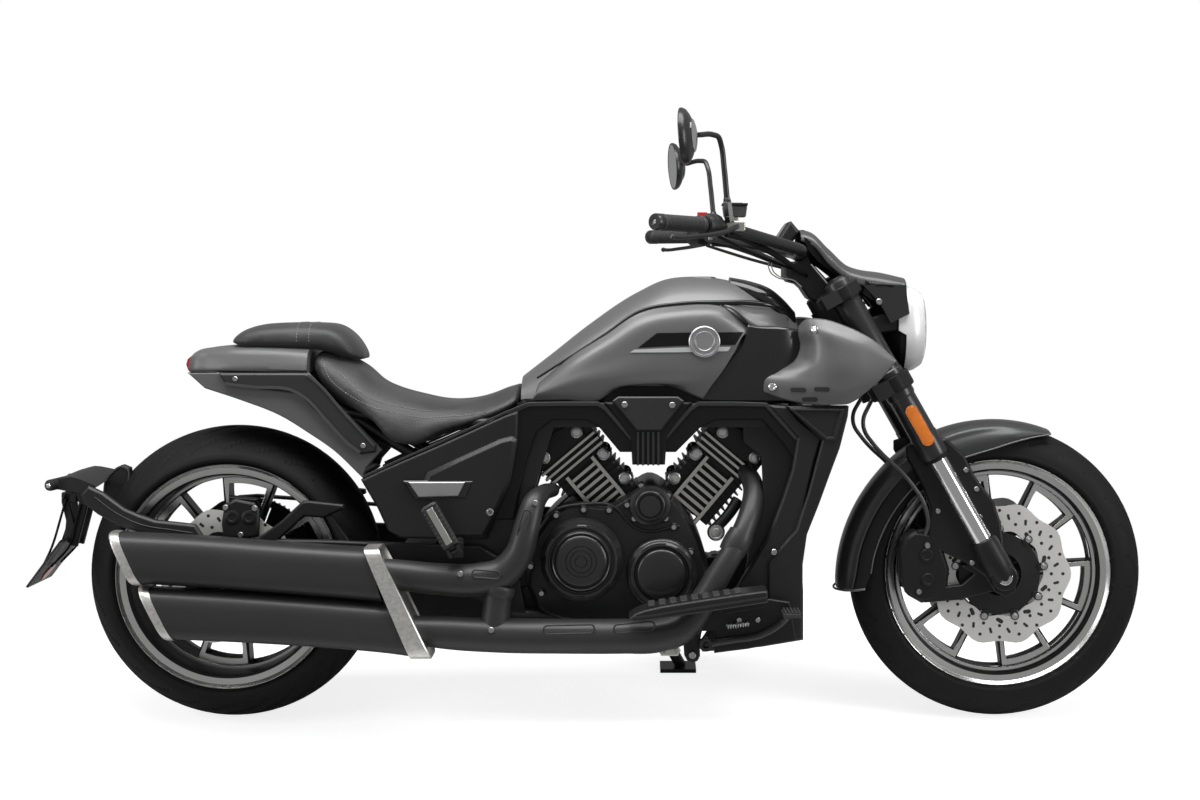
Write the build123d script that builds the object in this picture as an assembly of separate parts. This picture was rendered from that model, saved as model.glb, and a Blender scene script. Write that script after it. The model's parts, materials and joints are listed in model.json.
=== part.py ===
"""Cruiser motorcycle with an 80 degree V-twin, belt drive and stacked silencers, parked on its side stand.

Drawn upright in millimetres: X forward from the rear axle, Y to the left, Z up from the ground. Every
piece then leans over onto the side stand by one shared move, at the end of the file.
"""

import math
import os

from build123d import *

os.makedirs("parts", exist_ok=True)

# ---- Driving dimensions, in mm and degrees ----
WHEELBASE = 1660.0
LEAN = 8.5
RAKE = 29.5

FRONT_TYRE_R = 318.0
FRONT_TYRE_HALF = 65.0
FRONT_CROWN_R = 65.0
FRONT_RIM_R = 245.0
FRONT_RIM_BED = 230.5
FRONT_RIM_HALF = 52.0
REAR_TYRE_R = 317.0
REAR_TYRE_HALF = 120.0
REAR_CROWN_R = 150.0
REAR_RIM_R = 240.0
REAR_RIM_BED = 225.5
REAR_RIM_HALF = 112.0

AXLE_R = 11.0
AXLE_BORE_R = 7.5
AXLE_PLAY = 0.3
AXLE_COLLAR_R = 17.0
SEAT_GAP = 0.3

FORK_SPREAD = 108.0
FORK_OFFSET = 40.0
FORK_TUBE_R = 29.0
STANCHION_R = 21.5
FORK_PROUD = 40.0
FORK_TUBE_LONG = 432.0
FORK_FOOT_TOP = 78.0
STEM_R = 16.0
HEAD_TUBE_R = 34.0
HEAD_TOP_Z = 892.0
HEAD_LONG = 190.0
GUARD_GAP = 13.0
GUARD_T = 4.0
FENDER_GAP = 25.0
FENDER_T = 8.0
PLATE_GAP = 50.0
TAIL_GAP = 119.1

FRONT_DISC_R = 155.0
FRONT_DISC_Y = 68.0
FRONT_DISC_T = 5.0
REAR_DISC_R = 150.0
REAR_DISC_T = 6.0
DISC_CLEAR = 5.0

PULLEY_R = 142.0
FRONT_PULLEY_R = 62.0
BELT_W = 28.0
BELT_T = 6.0

BAR_R = 12.7
GRIP_R = 17.0
MIRROR_R = 57.0

STAND_PIVOT = (905.0, 150.0, 205.0)
STAND_TUBE_R = 13.0
STAND_REACH = 285.0
STAND_FORWARD = 75.0

# The rear crown is flatter than the front one, so its axle sits a little higher for both to touch.
LEAN_DROP = 1 - math.cos(math.radians(LEAN))
FRONT_AXLE_Z = FRONT_TYRE_R
REAR_AXLE_Z = REAR_TYRE_R + (REAR_CROWN_R - FRONT_CROWN_R) * LEAN_DROP
GROUND_DROP = FRONT_CROWN_R * LEAN_DROP
# The tail's floor clears the rear tyre; the tail, the pillion pad and the fender are drawn up from it.
TAIL_FLOOR = REAR_AXLE_Z + REAR_TYRE_R + TAIL_GAP

SILENCER_Y = -216.0
CLUTCH_AT = (759.0, 362.0)
GEAR_AT = (928.0, 332.0)
ALTERNATOR_AT = (905.0, 345.0)
PUMP_AT = (904.0, 475.0)
CASE_SIDE = 150.0
BORE_HALF = 62.0
BORE_LONG = 148.0
FIN_PITCH = 15.0
FIN_T = 5.0
FIN_PROUD = 9.0
HEAD_FIN_PITCH = 13.5
HEAD_FIN_PROUD = 16.0


# ---- Small drawing tools ----
def face_of(points):
    return make_face(Polyline(*points, close=True))


def slab(outline, y0, y1):
    """A side outline of (x, z) points, solid from y0 to y1."""
    return extrude(face_of([(x, y0, z) for x, z in outline]), y1 - y0, dir=(0, 1, 0))


def spin(x, z, r, y0, y1):
    """A round bar of radius r along Y."""
    return Pos(x, (y0 + y1) / 2, z) * Rot(90, 0, 0) * Cylinder(r, abs(y1 - y0))


def washer(x, z, r, hole, y0, y1):
    return spin(x, z, r, y0, y1) - spin(x, z, hole, y0 - 1, y1 + 1)


def bar(a, b, r):
    """A straight round bar from point a to point b."""
    a = Vector(*a)
    b = Vector(*b)
    return extrude(Plane(origin=a, z_dir=b - a) * Circle(r), (b - a).length)


def bent(points, r, bend):
    """A round bar along straight runs joined by tangent arcs."""
    path = FilletPolyline(*points, radius=bend)
    start = Vector(*points[0])
    run = Vector(*points[1]) - start
    return sweep(Plane(origin=start, z_dir=run) * Circle(r), path=path)


def side_loft(layers):
    """A ruled solid through side outlines of equal point count: (y, [(x, z), ...])."""
    return loft([face_of([(x, y, z) for x, z in outline]) for y, outline in layers], ruled=True)


def end_loft(stations):
    """A ruled solid, symmetric about the centre plane: (x, [(y, z) of one half, top to bottom])."""
    faces = []
    for x, half in stations:
        ring = [(x, y, z) for y, z in half] + [(x, -y, z) for y, z in reversed(half) if y > 0]
        faces.append(face_of(ring))
    return loft(faces, ruled=True)


def turned(profile):
    """A body of revolution about Y from (radius, y) points."""
    return revolve(face_of([(r, y, 0) for r, y in profile]), Axis.Y, 360)


def other_side(shape):
    return mirror(shape, about=Plane.XZ)


def both(shape):
    return Compound([shape, other_side(shape)])


def shrink(outline, share, centre):
    """An outline drawn in towards a centre point."""
    cx, cz = centre
    return [(cx + (x - cx) * share, cz + (z - cz) * share) for x, z in outline]


def box_at(x0, x1, y0, y1, z0, z1):
    return Pos((x0 + x1) / 2, (y0 + y1) / 2, (z0 + z1) / 2) * Box(x1 - x0, y1 - y0, z1 - z0)


SIN_RAKE = math.sin(math.radians(RAKE))
COS_RAKE = math.cos(math.radians(RAKE))


# Distances up the fork line, from the front axle: the steering head's ends and the outer tubes' ends.
HEAD_HIGH = (HEAD_TOP_Z - FRONT_AXLE_Z + FORK_OFFSET * SIN_RAKE) / COS_RAKE
HEAD_LOW = HEAD_HIGH - HEAD_LONG
FORK_TOP = HEAD_HIGH + FORK_PROUD
FORK_TUBE_LOW = FORK_TOP - FORK_TUBE_LONG


def fork(t, y=0.0, forward=0.0):
    """A point t mm up the fork line from the front axle, moved forward at right angles to it."""
    x = WHEELBASE - t * SIN_RAKE + forward * COS_RAKE
    z = FRONT_AXLE_Z + t * COS_RAKE + forward * SIN_RAKE
    return (x, y, z)


# The top of the steering head carries the bars and the lamp, and the front axle the brakes and the guard:
# their outlines are drawn from those two points.
HEAD_X = fork(HEAD_HIGH, 0, -FORK_OFFSET)[0]
at_head = Pos(HEAD_X, 0, HEAD_TOP_Z)
at_front_axle = Pos(WHEELBASE, 0, FRONT_AXLE_Z)
parts = {}


def pair(name, shape):
    """One node holding a piece and its mirror twin."""
    parts[name] = Compound([shape, other_side(shape)])


# ---- Front wheel: radial tyre, cast rim with twelve thin spokes in six pairs, two wave discs ----
BEAD_LIP = 6.3
FRONT_SHOULDER = 65.0
REAR_SHOULDER = 58.0
FRONT_HUB_R = 34.0
FRONT_HUB_HALF = 56.0
SPOKE_T = 10.0


def tyre(radius, half, shoulder, bed, bead):
    """A hollow tyre: a round crown, straight side walls and flat beads that sit on the rim bed."""
    low = bed + SEAT_GAP
    wall = 11.0
    foot = bead - 14.0
    crown_in = radius - 12.0
    outer_arc = ThreePointArc((shoulder, -half, 0), (radius, 0, 0), (shoulder, half, 0))
    inner_arc = ThreePointArc((shoulder, half - wall, 0), (crown_in, 0, 0), (shoulder, wall - half, 0))
    section = [
        (shoulder, half), (low + 14.8, bead), (low, bead), (low, foot), (low + 20, foot + 5),
        (shoulder, half - wall),
    ]
    left = Polyline(*[(r, y, 0) for r, y in section])
    right = Polyline(*[(r, -y, 0) for r, y in section])
    return revolve(make_face(outer_arc + left + inner_arc + right), Axis.Y, 360)


def rim(lip, bed, half, hub_r, hub_half, bore, bead):
    """A cast rim with a flat bed, two lips, a hub and six pairs of thin spokes."""
    band = turned([
        (lip, half), (lip, bead + SEAT_GAP), (bed, bead + SEAT_GAP), (bed, -bead - SEAT_GAP),
        (lip, -bead - SEAT_GAP), (lip, -half), (lip - 9, -half), (bed - 9, 8 - half),
        (bed - 15, 40 - half), (bed - 15, half - 40), (bed - 9, half - 8), (lip - 9, half),
    ])
    wheel = band + spin(0, 0, hub_r, -hub_half, hub_half)
    for pair in range(6):
        for lean in (-9.0, 9.0):
            turn = Rot(0, 60.0 * pair + lean, 0)
            spoke = box_at(hub_r - 6, bed - 12, -14, 14, -SPOKE_T / 2, SPOKE_T / 2)
            wheel = wheel + turn * spoke
        bracket = box_at(bed - 62, bed - 12, -17, 17, -26, 26) - box_at(bed - 80, bed - 24, -20, 20, -17, 17)
        wheel = wheel + Rot(0, 60.0 * pair, 0) * bracket
    return wheel - spin(0, 0, bore, -hub_half - 1, hub_half + 1)


def wave_disc(radius, inner, thickness, lobes):
    """A brake disc whose outer and inner edges wave in and out."""
    outline = []
    for n in range(lobes * 6):
        swing = math.cos(math.radians(360.0 * n / 6))
        r = radius - 3.0 * (1 - swing)
        a = math.radians(360.0 * n / (lobes * 6))
        outline.append((r * math.cos(a), r * math.sin(a)))
    return slab(outline, -thickness / 2, thickness / 2) - spin(0, 0, inner, -thickness, thickness)


parts["front_tyre"] = at_front_axle * tyre(
    FRONT_TYRE_R, FRONT_TYRE_HALF, FRONT_TYRE_R - FRONT_SHOULDER, FRONT_RIM_BED, FRONT_RIM_HALF - BEAD_LIP
)
parts["front_rim"] = at_front_axle * rim(
    FRONT_RIM_R, FRONT_RIM_BED, FRONT_RIM_HALF, FRONT_HUB_R, FRONT_HUB_HALF, AXLE_R + AXLE_PLAY,
    FRONT_RIM_HALF - BEAD_LIP,
)
disc_ring = wave_disc(FRONT_DISC_R, 112.0, FRONT_DISC_T, 9)
carrier = washer(0, 0, 114.0, FRONT_HUB_R - 4, -2.0, 2.0)
for arm in range(9):
    carrier = carrier - Rot(0, 40.0 * arm + 20, 0) * box_at(62, 104, -5, 5, -13, 13)
carrier = carrier + washer(0, 0, FRONT_HUB_R + 8, AXLE_R + AXLE_PLAY, FRONT_HUB_HALF - FRONT_DISC_Y, 2.0)
front_disc = disc_ring + carrier
pair("front_discs", at_front_axle * Pos(0, FRONT_DISC_Y, 0) * front_disc)

# ---- Rear wheel: 240 tyre, wide rim, disc on the right, toothed pulley on the left ----
REAR_HUB_R = 48.0
REAR_HUB_HALF = 100.0
rear_wheel_at = Pos(0, 0, REAR_AXLE_Z)
parts["rear_tyre"] = rear_wheel_at * tyre(
    REAR_TYRE_R, REAR_TYRE_HALF, REAR_TYRE_R - REAR_SHOULDER, REAR_RIM_BED, REAR_RIM_HALF - BEAD_LIP
)
parts["rear_rim"] = rear_wheel_at * rim(
    REAR_RIM_R, REAR_RIM_BED, REAR_RIM_HALF, REAR_HUB_R, REAR_HUB_HALF, AXLE_R + AXLE_PLAY,
    REAR_RIM_HALF - BEAD_LIP,
)
REAR_DISC_Y = -REAR_HUB_HALF - REAR_DISC_T / 2
rear_disc = wave_disc(REAR_DISC_R, 108.0, REAR_DISC_T, 9) + washer(0, 0, 110.0, 30.0, -3.0, 3.0)
for arm in range(6):
    rear_disc = rear_disc - Rot(0, 60.0 * arm + 30, 0) * box_at(62, 100, -5, 5, -20, 20)
parts["rear_disc"] = rear_wheel_at * Pos(0, REAR_DISC_Y, 0) * rear_disc
PULLEY_Y = 127.0
pulley = washer(0, 0, PULLEY_R, 118.0, 0, BELT_W) + washer(0, 0, 120.0, 30.0, 10, 20)
for arm in range(5):
    pulley = pulley - Rot(0, 72.0 * arm, 0) * box_at(62, 106, 8, 22, -22, 22)
pulley = pulley + washer(0, 0, 46.0, AXLE_R + AXLE_PLAY, REAR_HUB_HALF - PULLEY_Y, BELT_W)
parts["rear_pulley"] = rear_wheel_at * Pos(0, PULLEY_Y, 0) * pulley

# ---- Swingarm: a long beam each side, a cross tube and the pivot ----
RIGHT_IN = -128.0
RIGHT_OUT = -148.0
LEFT_IN = 160.0
LEFT_OUT = 188.0
PIVOT_X = 545.0
PIVOT_Z = 345.0
arm_outline = [
    (-60, REAR_AXLE_Z - 40), (30, REAR_AXLE_Z - 42), (PIVOT_X - 40, PIVOT_Z - 42), (
        PIVOT_X + 30, PIVOT_Z - 34,
    ),
    (PIVOT_X + 38, PIVOT_Z + 20), (PIVOT_X, PIVOT_Z + 42), (230, 400), (60, 403), (34, 372), (-40, 362),
    (-66, REAR_AXLE_Z + 20),
]
brace_outline = [(60, 398), (165, 484), (254, 476), (245, 463), (212, 447), (170, 450), (112, 396)]
strut_outline = [(210, 455), (228, 452), (268, 396), (244, 396)]
swing = spin(PIVOT_X, PIVOT_Z, 34.0, RIGHT_IN, LEFT_IN)
swing = swing + box_at(PIVOT_X - 175, PIVOT_X - 105, RIGHT_IN, 122, 322, 382)
swing = swing + box_at(PIVOT_X - 175, PIVOT_X - 105, 156, LEFT_IN, 322, 382)
for inner, outer in ((RIGHT_IN, RIGHT_OUT), (LEFT_IN, LEFT_OUT)):
    y0, y1 = min(inner, outer), max(inner, outer)
    swing = swing + slab(arm_outline, y0, y1) + slab(brace_outline, y0 + 4, y1 - 4)
    swing = swing + slab(strut_outline, y0 + 7, y1 - 7)
swing = swing - spin(0, REAR_AXLE_Z, AXLE_R, RIGHT_OUT - 5, LEFT_OUT + 5)
swing = swing - spin(PIVOT_X, PIVOT_Z, 12.0, RIGHT_OUT - 5, LEFT_OUT + 5)
parts["swingarm"] = swing
pivot_bolt = spin(PIVOT_X, PIVOT_Z, 12.0, RIGHT_OUT - 10, LEFT_OUT + 10)

axle = spin(0, REAR_AXLE_Z, AXLE_R, RIGHT_OUT - 13, LEFT_OUT + 22)
axle = axle + washer(0, REAR_AXLE_Z, 19.0, AXLE_R - 1, LEFT_OUT, LEFT_OUT + 14)
axle = axle + washer(0, REAR_AXLE_Z, 19.0, AXLE_R - 1, RIGHT_OUT - 10, RIGHT_OUT)
axle = axle + washer(0, REAR_AXLE_Z, 20.0, AXLE_R - 1, PULLEY_Y + BELT_W + SEAT_GAP, LEFT_IN)
axle = axle + washer(0, REAR_AXLE_Z, 20.0, AXLE_R - 1, RIGHT_IN, REAR_DISC_Y - REAR_DISC_T / 2 - SEAT_GAP)
axle = axle - spin(0, REAR_AXLE_Z, AXLE_BORE_R, RIGHT_OUT - 30, LEFT_OUT + 30)
parts["rear_axle"] = axle

disc_face = REAR_DISC_Y + REAR_DISC_T / 2
caliper = slab([(-12, 398), (84, 398), (84, 488), (20, 494), (-12, 470)], RIGHT_IN, disc_face + 25)
slot_outline = [(-20, 300), (90, 300), (90, 478), (-20, 478)]
parts["rear_caliper"] = caliper - slab(
    slot_outline, disc_face - REAR_DISC_T - DISC_CLEAR, disc_face + DISC_CLEAR,
)

# ---- Main frame: steering head, two top beams, down tubes, cradle and seat rails ----
head = bar(fork(HEAD_LOW, 0, -FORK_OFFSET), fork(HEAD_HIGH, 0, -FORK_OFFSET), HEAD_TUBE_R)
stem_hole = bar(fork(HEAD_LOW - 5, 0, -FORK_OFFSET), fork(HEAD_HIGH + 5, 0, -FORK_OFFSET), STEM_R + AXLE_PLAY)
beam_side = side_loft([
    (20, [(HEAD_X - 53, HEAD_TOP_Z - 102), (HEAD_X - 53, HEAD_TOP_Z - 192), (HEAD_X + 83, HEAD_TOP_Z - 147),
          (HEAD_X + 41, HEAD_TOP_Z - 62)]),
    (120, [(1050, 690), (1050, 640), (1170, 640), (1170, 690)]),
])
beam_run = side_loft([
    (105, [(640, 690), (600, 480), (650, 480), (700, 640), (1150, 640), (1175, 690)]),
    (150, [(640, 690), (600, 480), (650, 480), (700, 640), (1150, 640), (1175, 690)]),
])
pivot_plate = slab(
    [(600, 520), (530, 520), (475, 400), (500, 290), (600, 235), (640, 235), (622, 330), (660, 480)],
    96, 122,
)
link_block = box_at(596, 645, 100, 148, 478, 520)
frame_side = beam_side + beam_run + pivot_plate + link_block
down_tube = bar((1215, 90, 690), (1120, 95, 205), 18)
cradle = bar((1122, 95, 212), (610, 108, 234), 17)
seat_rail = bar((630, 125, 640), (250, 88, 665), 14)
seat_strut = bar((540, 109, 495), (262, 90, 658), 12)
tail_stay = bar((262, 88, 664), (110, 88, TAIL_FLOOR - 2), 12)
frame_side = frame_side + down_tube + cradle + seat_rail + seat_strut + tail_stay
frame_solid = both(frame_side) + head
frame_solid = frame_solid + box_at(1195, HEAD_X - 27, -70, 70, 700, 760)
frame_solid = frame_solid + box_at(1090, 1130, -95, 95, 196, 228)
frame_solid = frame_solid + box_at(620, 650, -106, 106, 640, 688)
frame_solid = frame_solid + box_at(250, 285, -90, 90, 650, 676)
frame_solid = frame_solid - stem_hole
frame_solid = frame_solid - spin(PIVOT_X, PIVOT_Z, 34.0 + SEAT_GAP, -130, 130)

# ---- Engine: crankcase block, two finned cylinders leaning 40 degrees each way, round covers ----
FRONT_PULLEY = (668.0, 350.0)
case_outline = [
    (640, 300), (668, 250), (760, 222), (960, 222), (1010, 262), (1030, 320), (1014, 392), (985, 450),
    (954, 491), (905, 520), (860, 497), (824, 476), (720, 474), (672, 428), (650, 380),
]
case = side_loft([
    (-150, shrink(case_outline, 0.93, (840, 370))),
    (-120, case_outline),
    (120, case_outline),
    (150, shrink(case_outline, 0.93, (840, 370))),
])
case = case - spin(FRONT_PULLEY[0], FRONT_PULLEY[1], 84.0, PULLEY_Y - 9, 160)

# Round covers: centre, side of the case, radius and height, then their ring's two radii and height.
COVERS = [
    {"at": CLUTCH_AT, "side": -1, "r": 88.0, "high": 42.0, "ring": 74.0, "bore": 60.0, "ring_high": 56.0},
    {"at": GEAR_AT, "side": -1, "r": 75.0, "high": 22.0, "ring": 62.0, "bore": 50.0, "ring_high": 29.0},
    {"at": ALTERNATOR_AT, "side": 1, "r": 96.0, "high": 34.0, "ring": 66.0, "bore": 52.0, "ring_high": 46.0},
]
round_covers = []
for cover in COVERS:
    x, z = cover["at"]
    base = cover["side"] * CASE_SIDE
    face = base + cover["side"] * cover["high"]
    top = base + cover["side"] * cover["ring_high"]
    disc = spin(x, z, cover["r"], base, face)
    round_covers.append(disc + washer(x, z, cover["ring"], cover["bore"], min(face, top), max(face, top)))
clutch_boss = spin(*CLUTCH_AT, 56.0, -CASE_SIDE - 52, -CASE_SIDE - 42)
round_covers[0] = round_covers[0] + clutch_boss
pump = spin(*PUMP_AT, 44.0, -CASE_SIDE - 14, -142)
pump = pump + washer(*PUMP_AT, 26.0, 18.0, -CASE_SIDE - 24, -CASE_SIDE - 14)

# The two cylinders, rear and front: lean from upright, and the point of the crankcase they stand on. Each is
# drawn upright from that point, the rear one turned so that its deeper side faces the V.
CYLINDERS = [
    {"tilt": -40.0, "x": 845.0, "z": 440.0, "toward": 1},
    {"tilt": 40.0, "x": 962.0, "z": 440.0, "toward": -1},
]
head_half = BORE_HALF + 6
head_outline = [(-68, 26), (72, 26), (74, 57), (56, 84), (16, 100), (-30, 97), (-66, 80)]
cylinders = []
for cyl in CYLINDERS:
    block = box_at(-BORE_HALF, BORE_HALF, -78, 78, 30, BORE_LONG)
    fin_out = BORE_HALF + FIN_PROUD
    for level in range(7):
        z = 36 + FIN_PITCH * level
        block = block + box_at(-fin_out, fin_out, -88, 88, z, z + FIN_T)
    head_block = box_at(-head_half, head_half, -84, 84, BORE_LONG, BORE_LONG + 40)
    fin_out = BORE_HALF + HEAD_FIN_PROUD
    for level in range(3):
        z = BORE_LONG + 4 + HEAD_FIN_PITCH * level
        head_block = head_block + box_at(-fin_out, fin_out, -96, 96, z, z + FIN_T)
    dome = slab([(cyl["toward"] * x, BORE_LONG + z) for x, z in head_outline], -84, 84)
    whole = Pos(cyl["x"], 0, cyl["z"]) * Rot(0, cyl["tilt"], 0) * (block + head_block + dome)
    cylinders.append(whole - case)
rear_cylinder, front_cylinder = cylinders
front_cylinder = front_cylinder - rear_cylinder
parts["cylinders"] = Compound([rear_cylinder, front_cylinder])

# ---- Cooling: radiator behind the front down tubes, with a moulded cover each side ----
radiator = side_loft([
    (-149.7, [(1188, 300), (1222, 300), (1262, 590), (1228, 590)]),
    (149.7, [(1188, 300), (1222, 300), (1262, 590), (1228, 590)]),
])
radiator = radiator + both(box_at(1195, 1235, 82, 98, 560, 575)) + both(box_at(1140, 1195, 82, 98, 310, 325))
parts["radiator"] = radiator - frame_solid
shroud_outline = [
    (1157, 690), (1314, 683), (1318, 673), (1301, 600), (1264, 512), (1234, 417), (1222, 333), (1222, 197),
    (1134, 187), (1008, 166), (1008, 197), (1081, 302), (1155, 449), (1211, 602),
]
shroud = side_loft([
    (-192, shrink(shroud_outline, 0.94, (1200, 470))),
    (-172, shroud_outline),
    (-150, shroud_outline),
])
shroud = shroud - slab([(1208, 676), (1288, 674), (1284, 624), (1230, 620)], -200, -184)
shroud = shroud - slab(
    [(1180, 585), (1240, 585), (1196, 300), (1206, 215), (1060, 190), (1100, 300)], -162, -140,
)

# ---- Fuel tank: welded shell under side panels, a centre spine and a pair of air scoops ----
TANK_HALF = 160.0
tank_stations = [
    (628, [(0, 735), (60, 733), (105, 722), (125, 700), (40, 698)]),
    (680, [(0, 772), (80, 768), (128, 745), (150, 700), (40, 698)]),
    (770, [(0, 832), (95, 826), (138, 790), (156, 702), (40, 698)]),
    (880, [(0, 892), (105, 884), (146, 850), (158, 702), (40, 698)]),
    (960, [(0, 930), (105, 920), (148, 880), (160, 702), (40, 698)]),
    (1060, [(0, 930), (100, 920), (142, 880), (160, 704), (40, 700)]),
    (1150, [(0, 906), (85, 898), (128, 862), (150, 712), (40, 708)]),
    (1225, [(0, 852), (60, 848), (100, 820), (118, 778), (40, 770)]),
]
tank = end_loft(tank_stations)
parts["fuel_tank"] = tank
panel_outline = [
    (652, 701), (663, 727), (756, 798), (840, 853), (904, 893), (1034, 897), (1094, 878), (1117, 848), (
        1083, 794,
    ),
    (1015, 703), (823, 719), (800, 703),
]
panel = side_loft([
    (-172, shrink(panel_outline, 0.9, (930, 790))),
    (-150, panel_outline),
    (-120, panel_outline),
])
panel = panel - slab([(868, 804), (916, 840), (1096, 840), (1070, 804)], -180, -164)
panel = panel - tank
console = end_loft([
    (640, [(0, 756), (20, 755), (26, 744), (26, 738)]),
    (760, [(0, 842), (34, 840), (44, 828), (44, 815)]),
    (905, [(0, 938), (44, 935), (56, 922), (56, 890)]),
    (1040, [(0, 958), (48, 955), (60, 940), (60, 905)]),
    (1140, [(0, 930), (44, 928), (56, 915), (56, 880)]),
    (1228, [(0, 872), (36, 870), (46, 858), (46, 835)]),
])
parts["tank_panels"] = Compound([panel, other_side(panel), console - tank])
scoop_outline = [
    (1216, 864), (1229, 874), (1268, 872), (1341, 839), (1383, 812), (1419, 782), (1383, 745), (1331, 703),
    (1306, 690), (1174, 693), (1143, 718), (1128, 741), (1185, 772), (1216, 820),
]
scoop = side_loft([
    (-214, shrink(scoop_outline, 0.82, (1265, 785))),
    (-186, scoop_outline),
    (-160, scoop_outline),
])
scoop = scoop + slab([(1140, 725), (1205, 745), (1205, 800), (1150, 760)], -162, -112) - tank
pair("tank_scoops", scoop)
cover = side_loft([
    (-186, [(812, 699), (985, 699), (928, 634), (872, 634)]),
    (-173, [(805, 703), (993, 703), (931, 630), (870, 630)]),
])
cover = cover + slab([(874, 636), (925, 636), (925, 560), (874, 560)], -180, -152)

# ---- Frame covers: one moulded rail each side that hides the frame beam ----
beam_outline = [
    (640, 697), (800, 697), (1160, 693), (1206, 640), (1196, 604), (1150, 655), (1030, 655), (1000, 640),
    (960, 612), (850, 612), (794, 655), (690, 655), (662, 636), (640, 568), (618, 488), (600, 488), (
        614, 569,
    ),
    (627, 640),
]
rail_cover = side_loft([
    (-172, shrink(beam_outline, 0.985, (900, 640))),
    (-160, beam_outline),
    (-150.3, beam_outline),
])
rail_cover = rail_cover + cover
pair("frame_covers", rail_cover)
shroud = shroud - rail_cover - bar((1120, -100, 214), (1120, -216, 240), 12.3)
pair("radiator_covers", shroud)

# ---- Side covers under the seat ----
side_outline = [
    (300, 536), (353, 561), (525, 637), (622, 672), (608, 569), (595, 488), (550, 403), (386, 405), (
        357, 426,
    ),
    (336, 473), (315, 511),
]
side_cover = side_loft([
    (-180, shrink(side_outline, 0.93, (470, 510))),
    (-168, side_outline),
    (-159, side_outline),
])
raised = side_loft([
    (-194, shrink([(442, 553), (589, 621), (615, 610), (580, 491), (540, 408), (505, 408)], 0.9, (545, 510))),
    (-178, [(442, 553), (589, 621), (615, 610), (580, 491), (540, 408), (505, 408)]),
])
side_cover = side_cover + raised - box_at(484, 526, -200, -150, 380, 418)
side_cover = side_cover + slab([(602, 535), (610, 560), (620, 640), (612, 640), (600, 540)], -160, -150)
side_cover = side_cover + bar((400, -160, 577), (400, -90, 577), 8) - frame_solid
pair("side_covers", side_cover)

# ---- Seats ----
seat_stations = [
    (178, [(0, 796), (60, 792), (92, 770), (100, 757), (60, 756)]),
    (234, [(0, 768), (90, 764), (122, 742), (134, 705), (80, 702)]),
    (300, [(0, 738), (105, 733), (142, 704), (152, 640), (80, 668)]),
    (384, [(0, 706), (112, 702), (150, 674), (160, 585), (90, 600)]),
    (479, [(0, 692), (108, 688), (146, 664), (158, 632), (90, 640)]),
    (560, [(0, 704), (86, 700), (124, 680), (140, 668), (80, 664)]),
    (622, [(0, 733), (60, 728), (96, 706), (120, 694), (60, 691)]),
]
seat = end_loft(seat_stations)
seat = seat - Pos(0, 0, 0) * box_at(150, 640, -89.7, 89.7, 500, 690)
seat = seat - frame_solid
parts["rider_seat"] = seat
pad_stations = [
    (-10, [(0, 68), (70, 66), (92, 61), (92, 58)]),
    (30, [(0, 96), (70, 92), (100, 76), (104, 58)]),
    (110, [(0, 108), (75, 104), (108, 84), (112, 58)]),
    (230, [(0, 108), (72, 104), (104, 82), (108, 48)]),
    (272, [(0, 78), (60, 72), (84, 52), (88, 21)]),
    (292, [(0, 34), (40, 31), (58, 24), (58, 18)]),
]
at_tail = Pos(0, 0, TAIL_FLOOR)
pad = at_tail * end_loft(pad_stations)

# ---- Tail: painted cowl, lower fender, side strips and the lamp strip ----
tail_stations = [
    (-95, [(0, 36), (40, 35), (62, 26), (66, 3), (40, 1)]),
    (-48, [(0, 54), (50, 53), (84, 42), (90, 3), (40, 1)]),
    (-10, [(0, 57.7), (60, 57.7), (98, 52), (104, 3), (40, 1)]),
    (100, [(0, 57.7), (66, 57.7), (112, 52), (122, 3), (40, 1)]),
    (176, [(0, 52), (70, 51), (118, 44), (128, 3), (40, 1)]),
]
tail = at_tail * end_loft(tail_stations)
parts["tail_cowl"] = tail
parts["pillion_pad"] = pad - tail - seat
# The fender's lower edge runs round the rear tyre: (angle up from straight ahead, what it adds to the gap).
fender_edge = [(35.9, 6), (50.3, 0), (71.2, 9), (85.4, 25), (96.3, 51)]
fender_inner = []
fender_outer = []
for angle, more in fender_edge:
    a = math.radians(angle)
    r = REAR_TYRE_R + FENDER_GAP + more
    fender_inner.append((r * math.cos(a), REAR_AXLE_Z + r * math.sin(a)))
    fender_outer.append(((r + FENDER_T) * math.cos(a), REAR_AXLE_Z + (r + FENDER_T) * math.sin(a)))
skin_outline = [(-81, TAIL_FLOOR), (177, TAIL_FLOOR + 0.7), (250, TAIL_FLOOR - 78), (334, TAIL_FLOOR - 164),
                (300, TAIL_FLOOR - 202)] + fender_inner
fender_skin = slab(skin_outline, -128, -122)
top_outline = [(-60, TAIL_FLOOR), (-81, TAIL_FLOOR), (-81, TAIL_FLOOR - 6)]
top_outline = top_outline + list(reversed(fender_inner)) + fender_outer
fender_top = slab(top_outline, -122, 122)
fender = both(fender_skin) + fender_top
fender = fender - tail - seat - frame_solid
strip = at_tail * side_loft([
    (-140, [(-8, -2), (172, -4), (322, -162), (292, -166), (272, -154), (168, -48), (150, -38), (4, -20)]),
    (
        -128.3,
        [(-17, 0.7), (177, 0.7), (334, -164), (287, -174), (270, -161), (164, -53), (151, -42), (-2, -25)],
    ),
])
strip = strip - seat
parts["rear_fender"] = Compound([fender, strip, other_side(strip)])
lamp_outline = [(-93, 3), (-93, 32), (-110, 30), (-108, 3)]
parts["tail_lamp"] = at_tail * slab(lamp_outline, -58, 58) - tail

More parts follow.
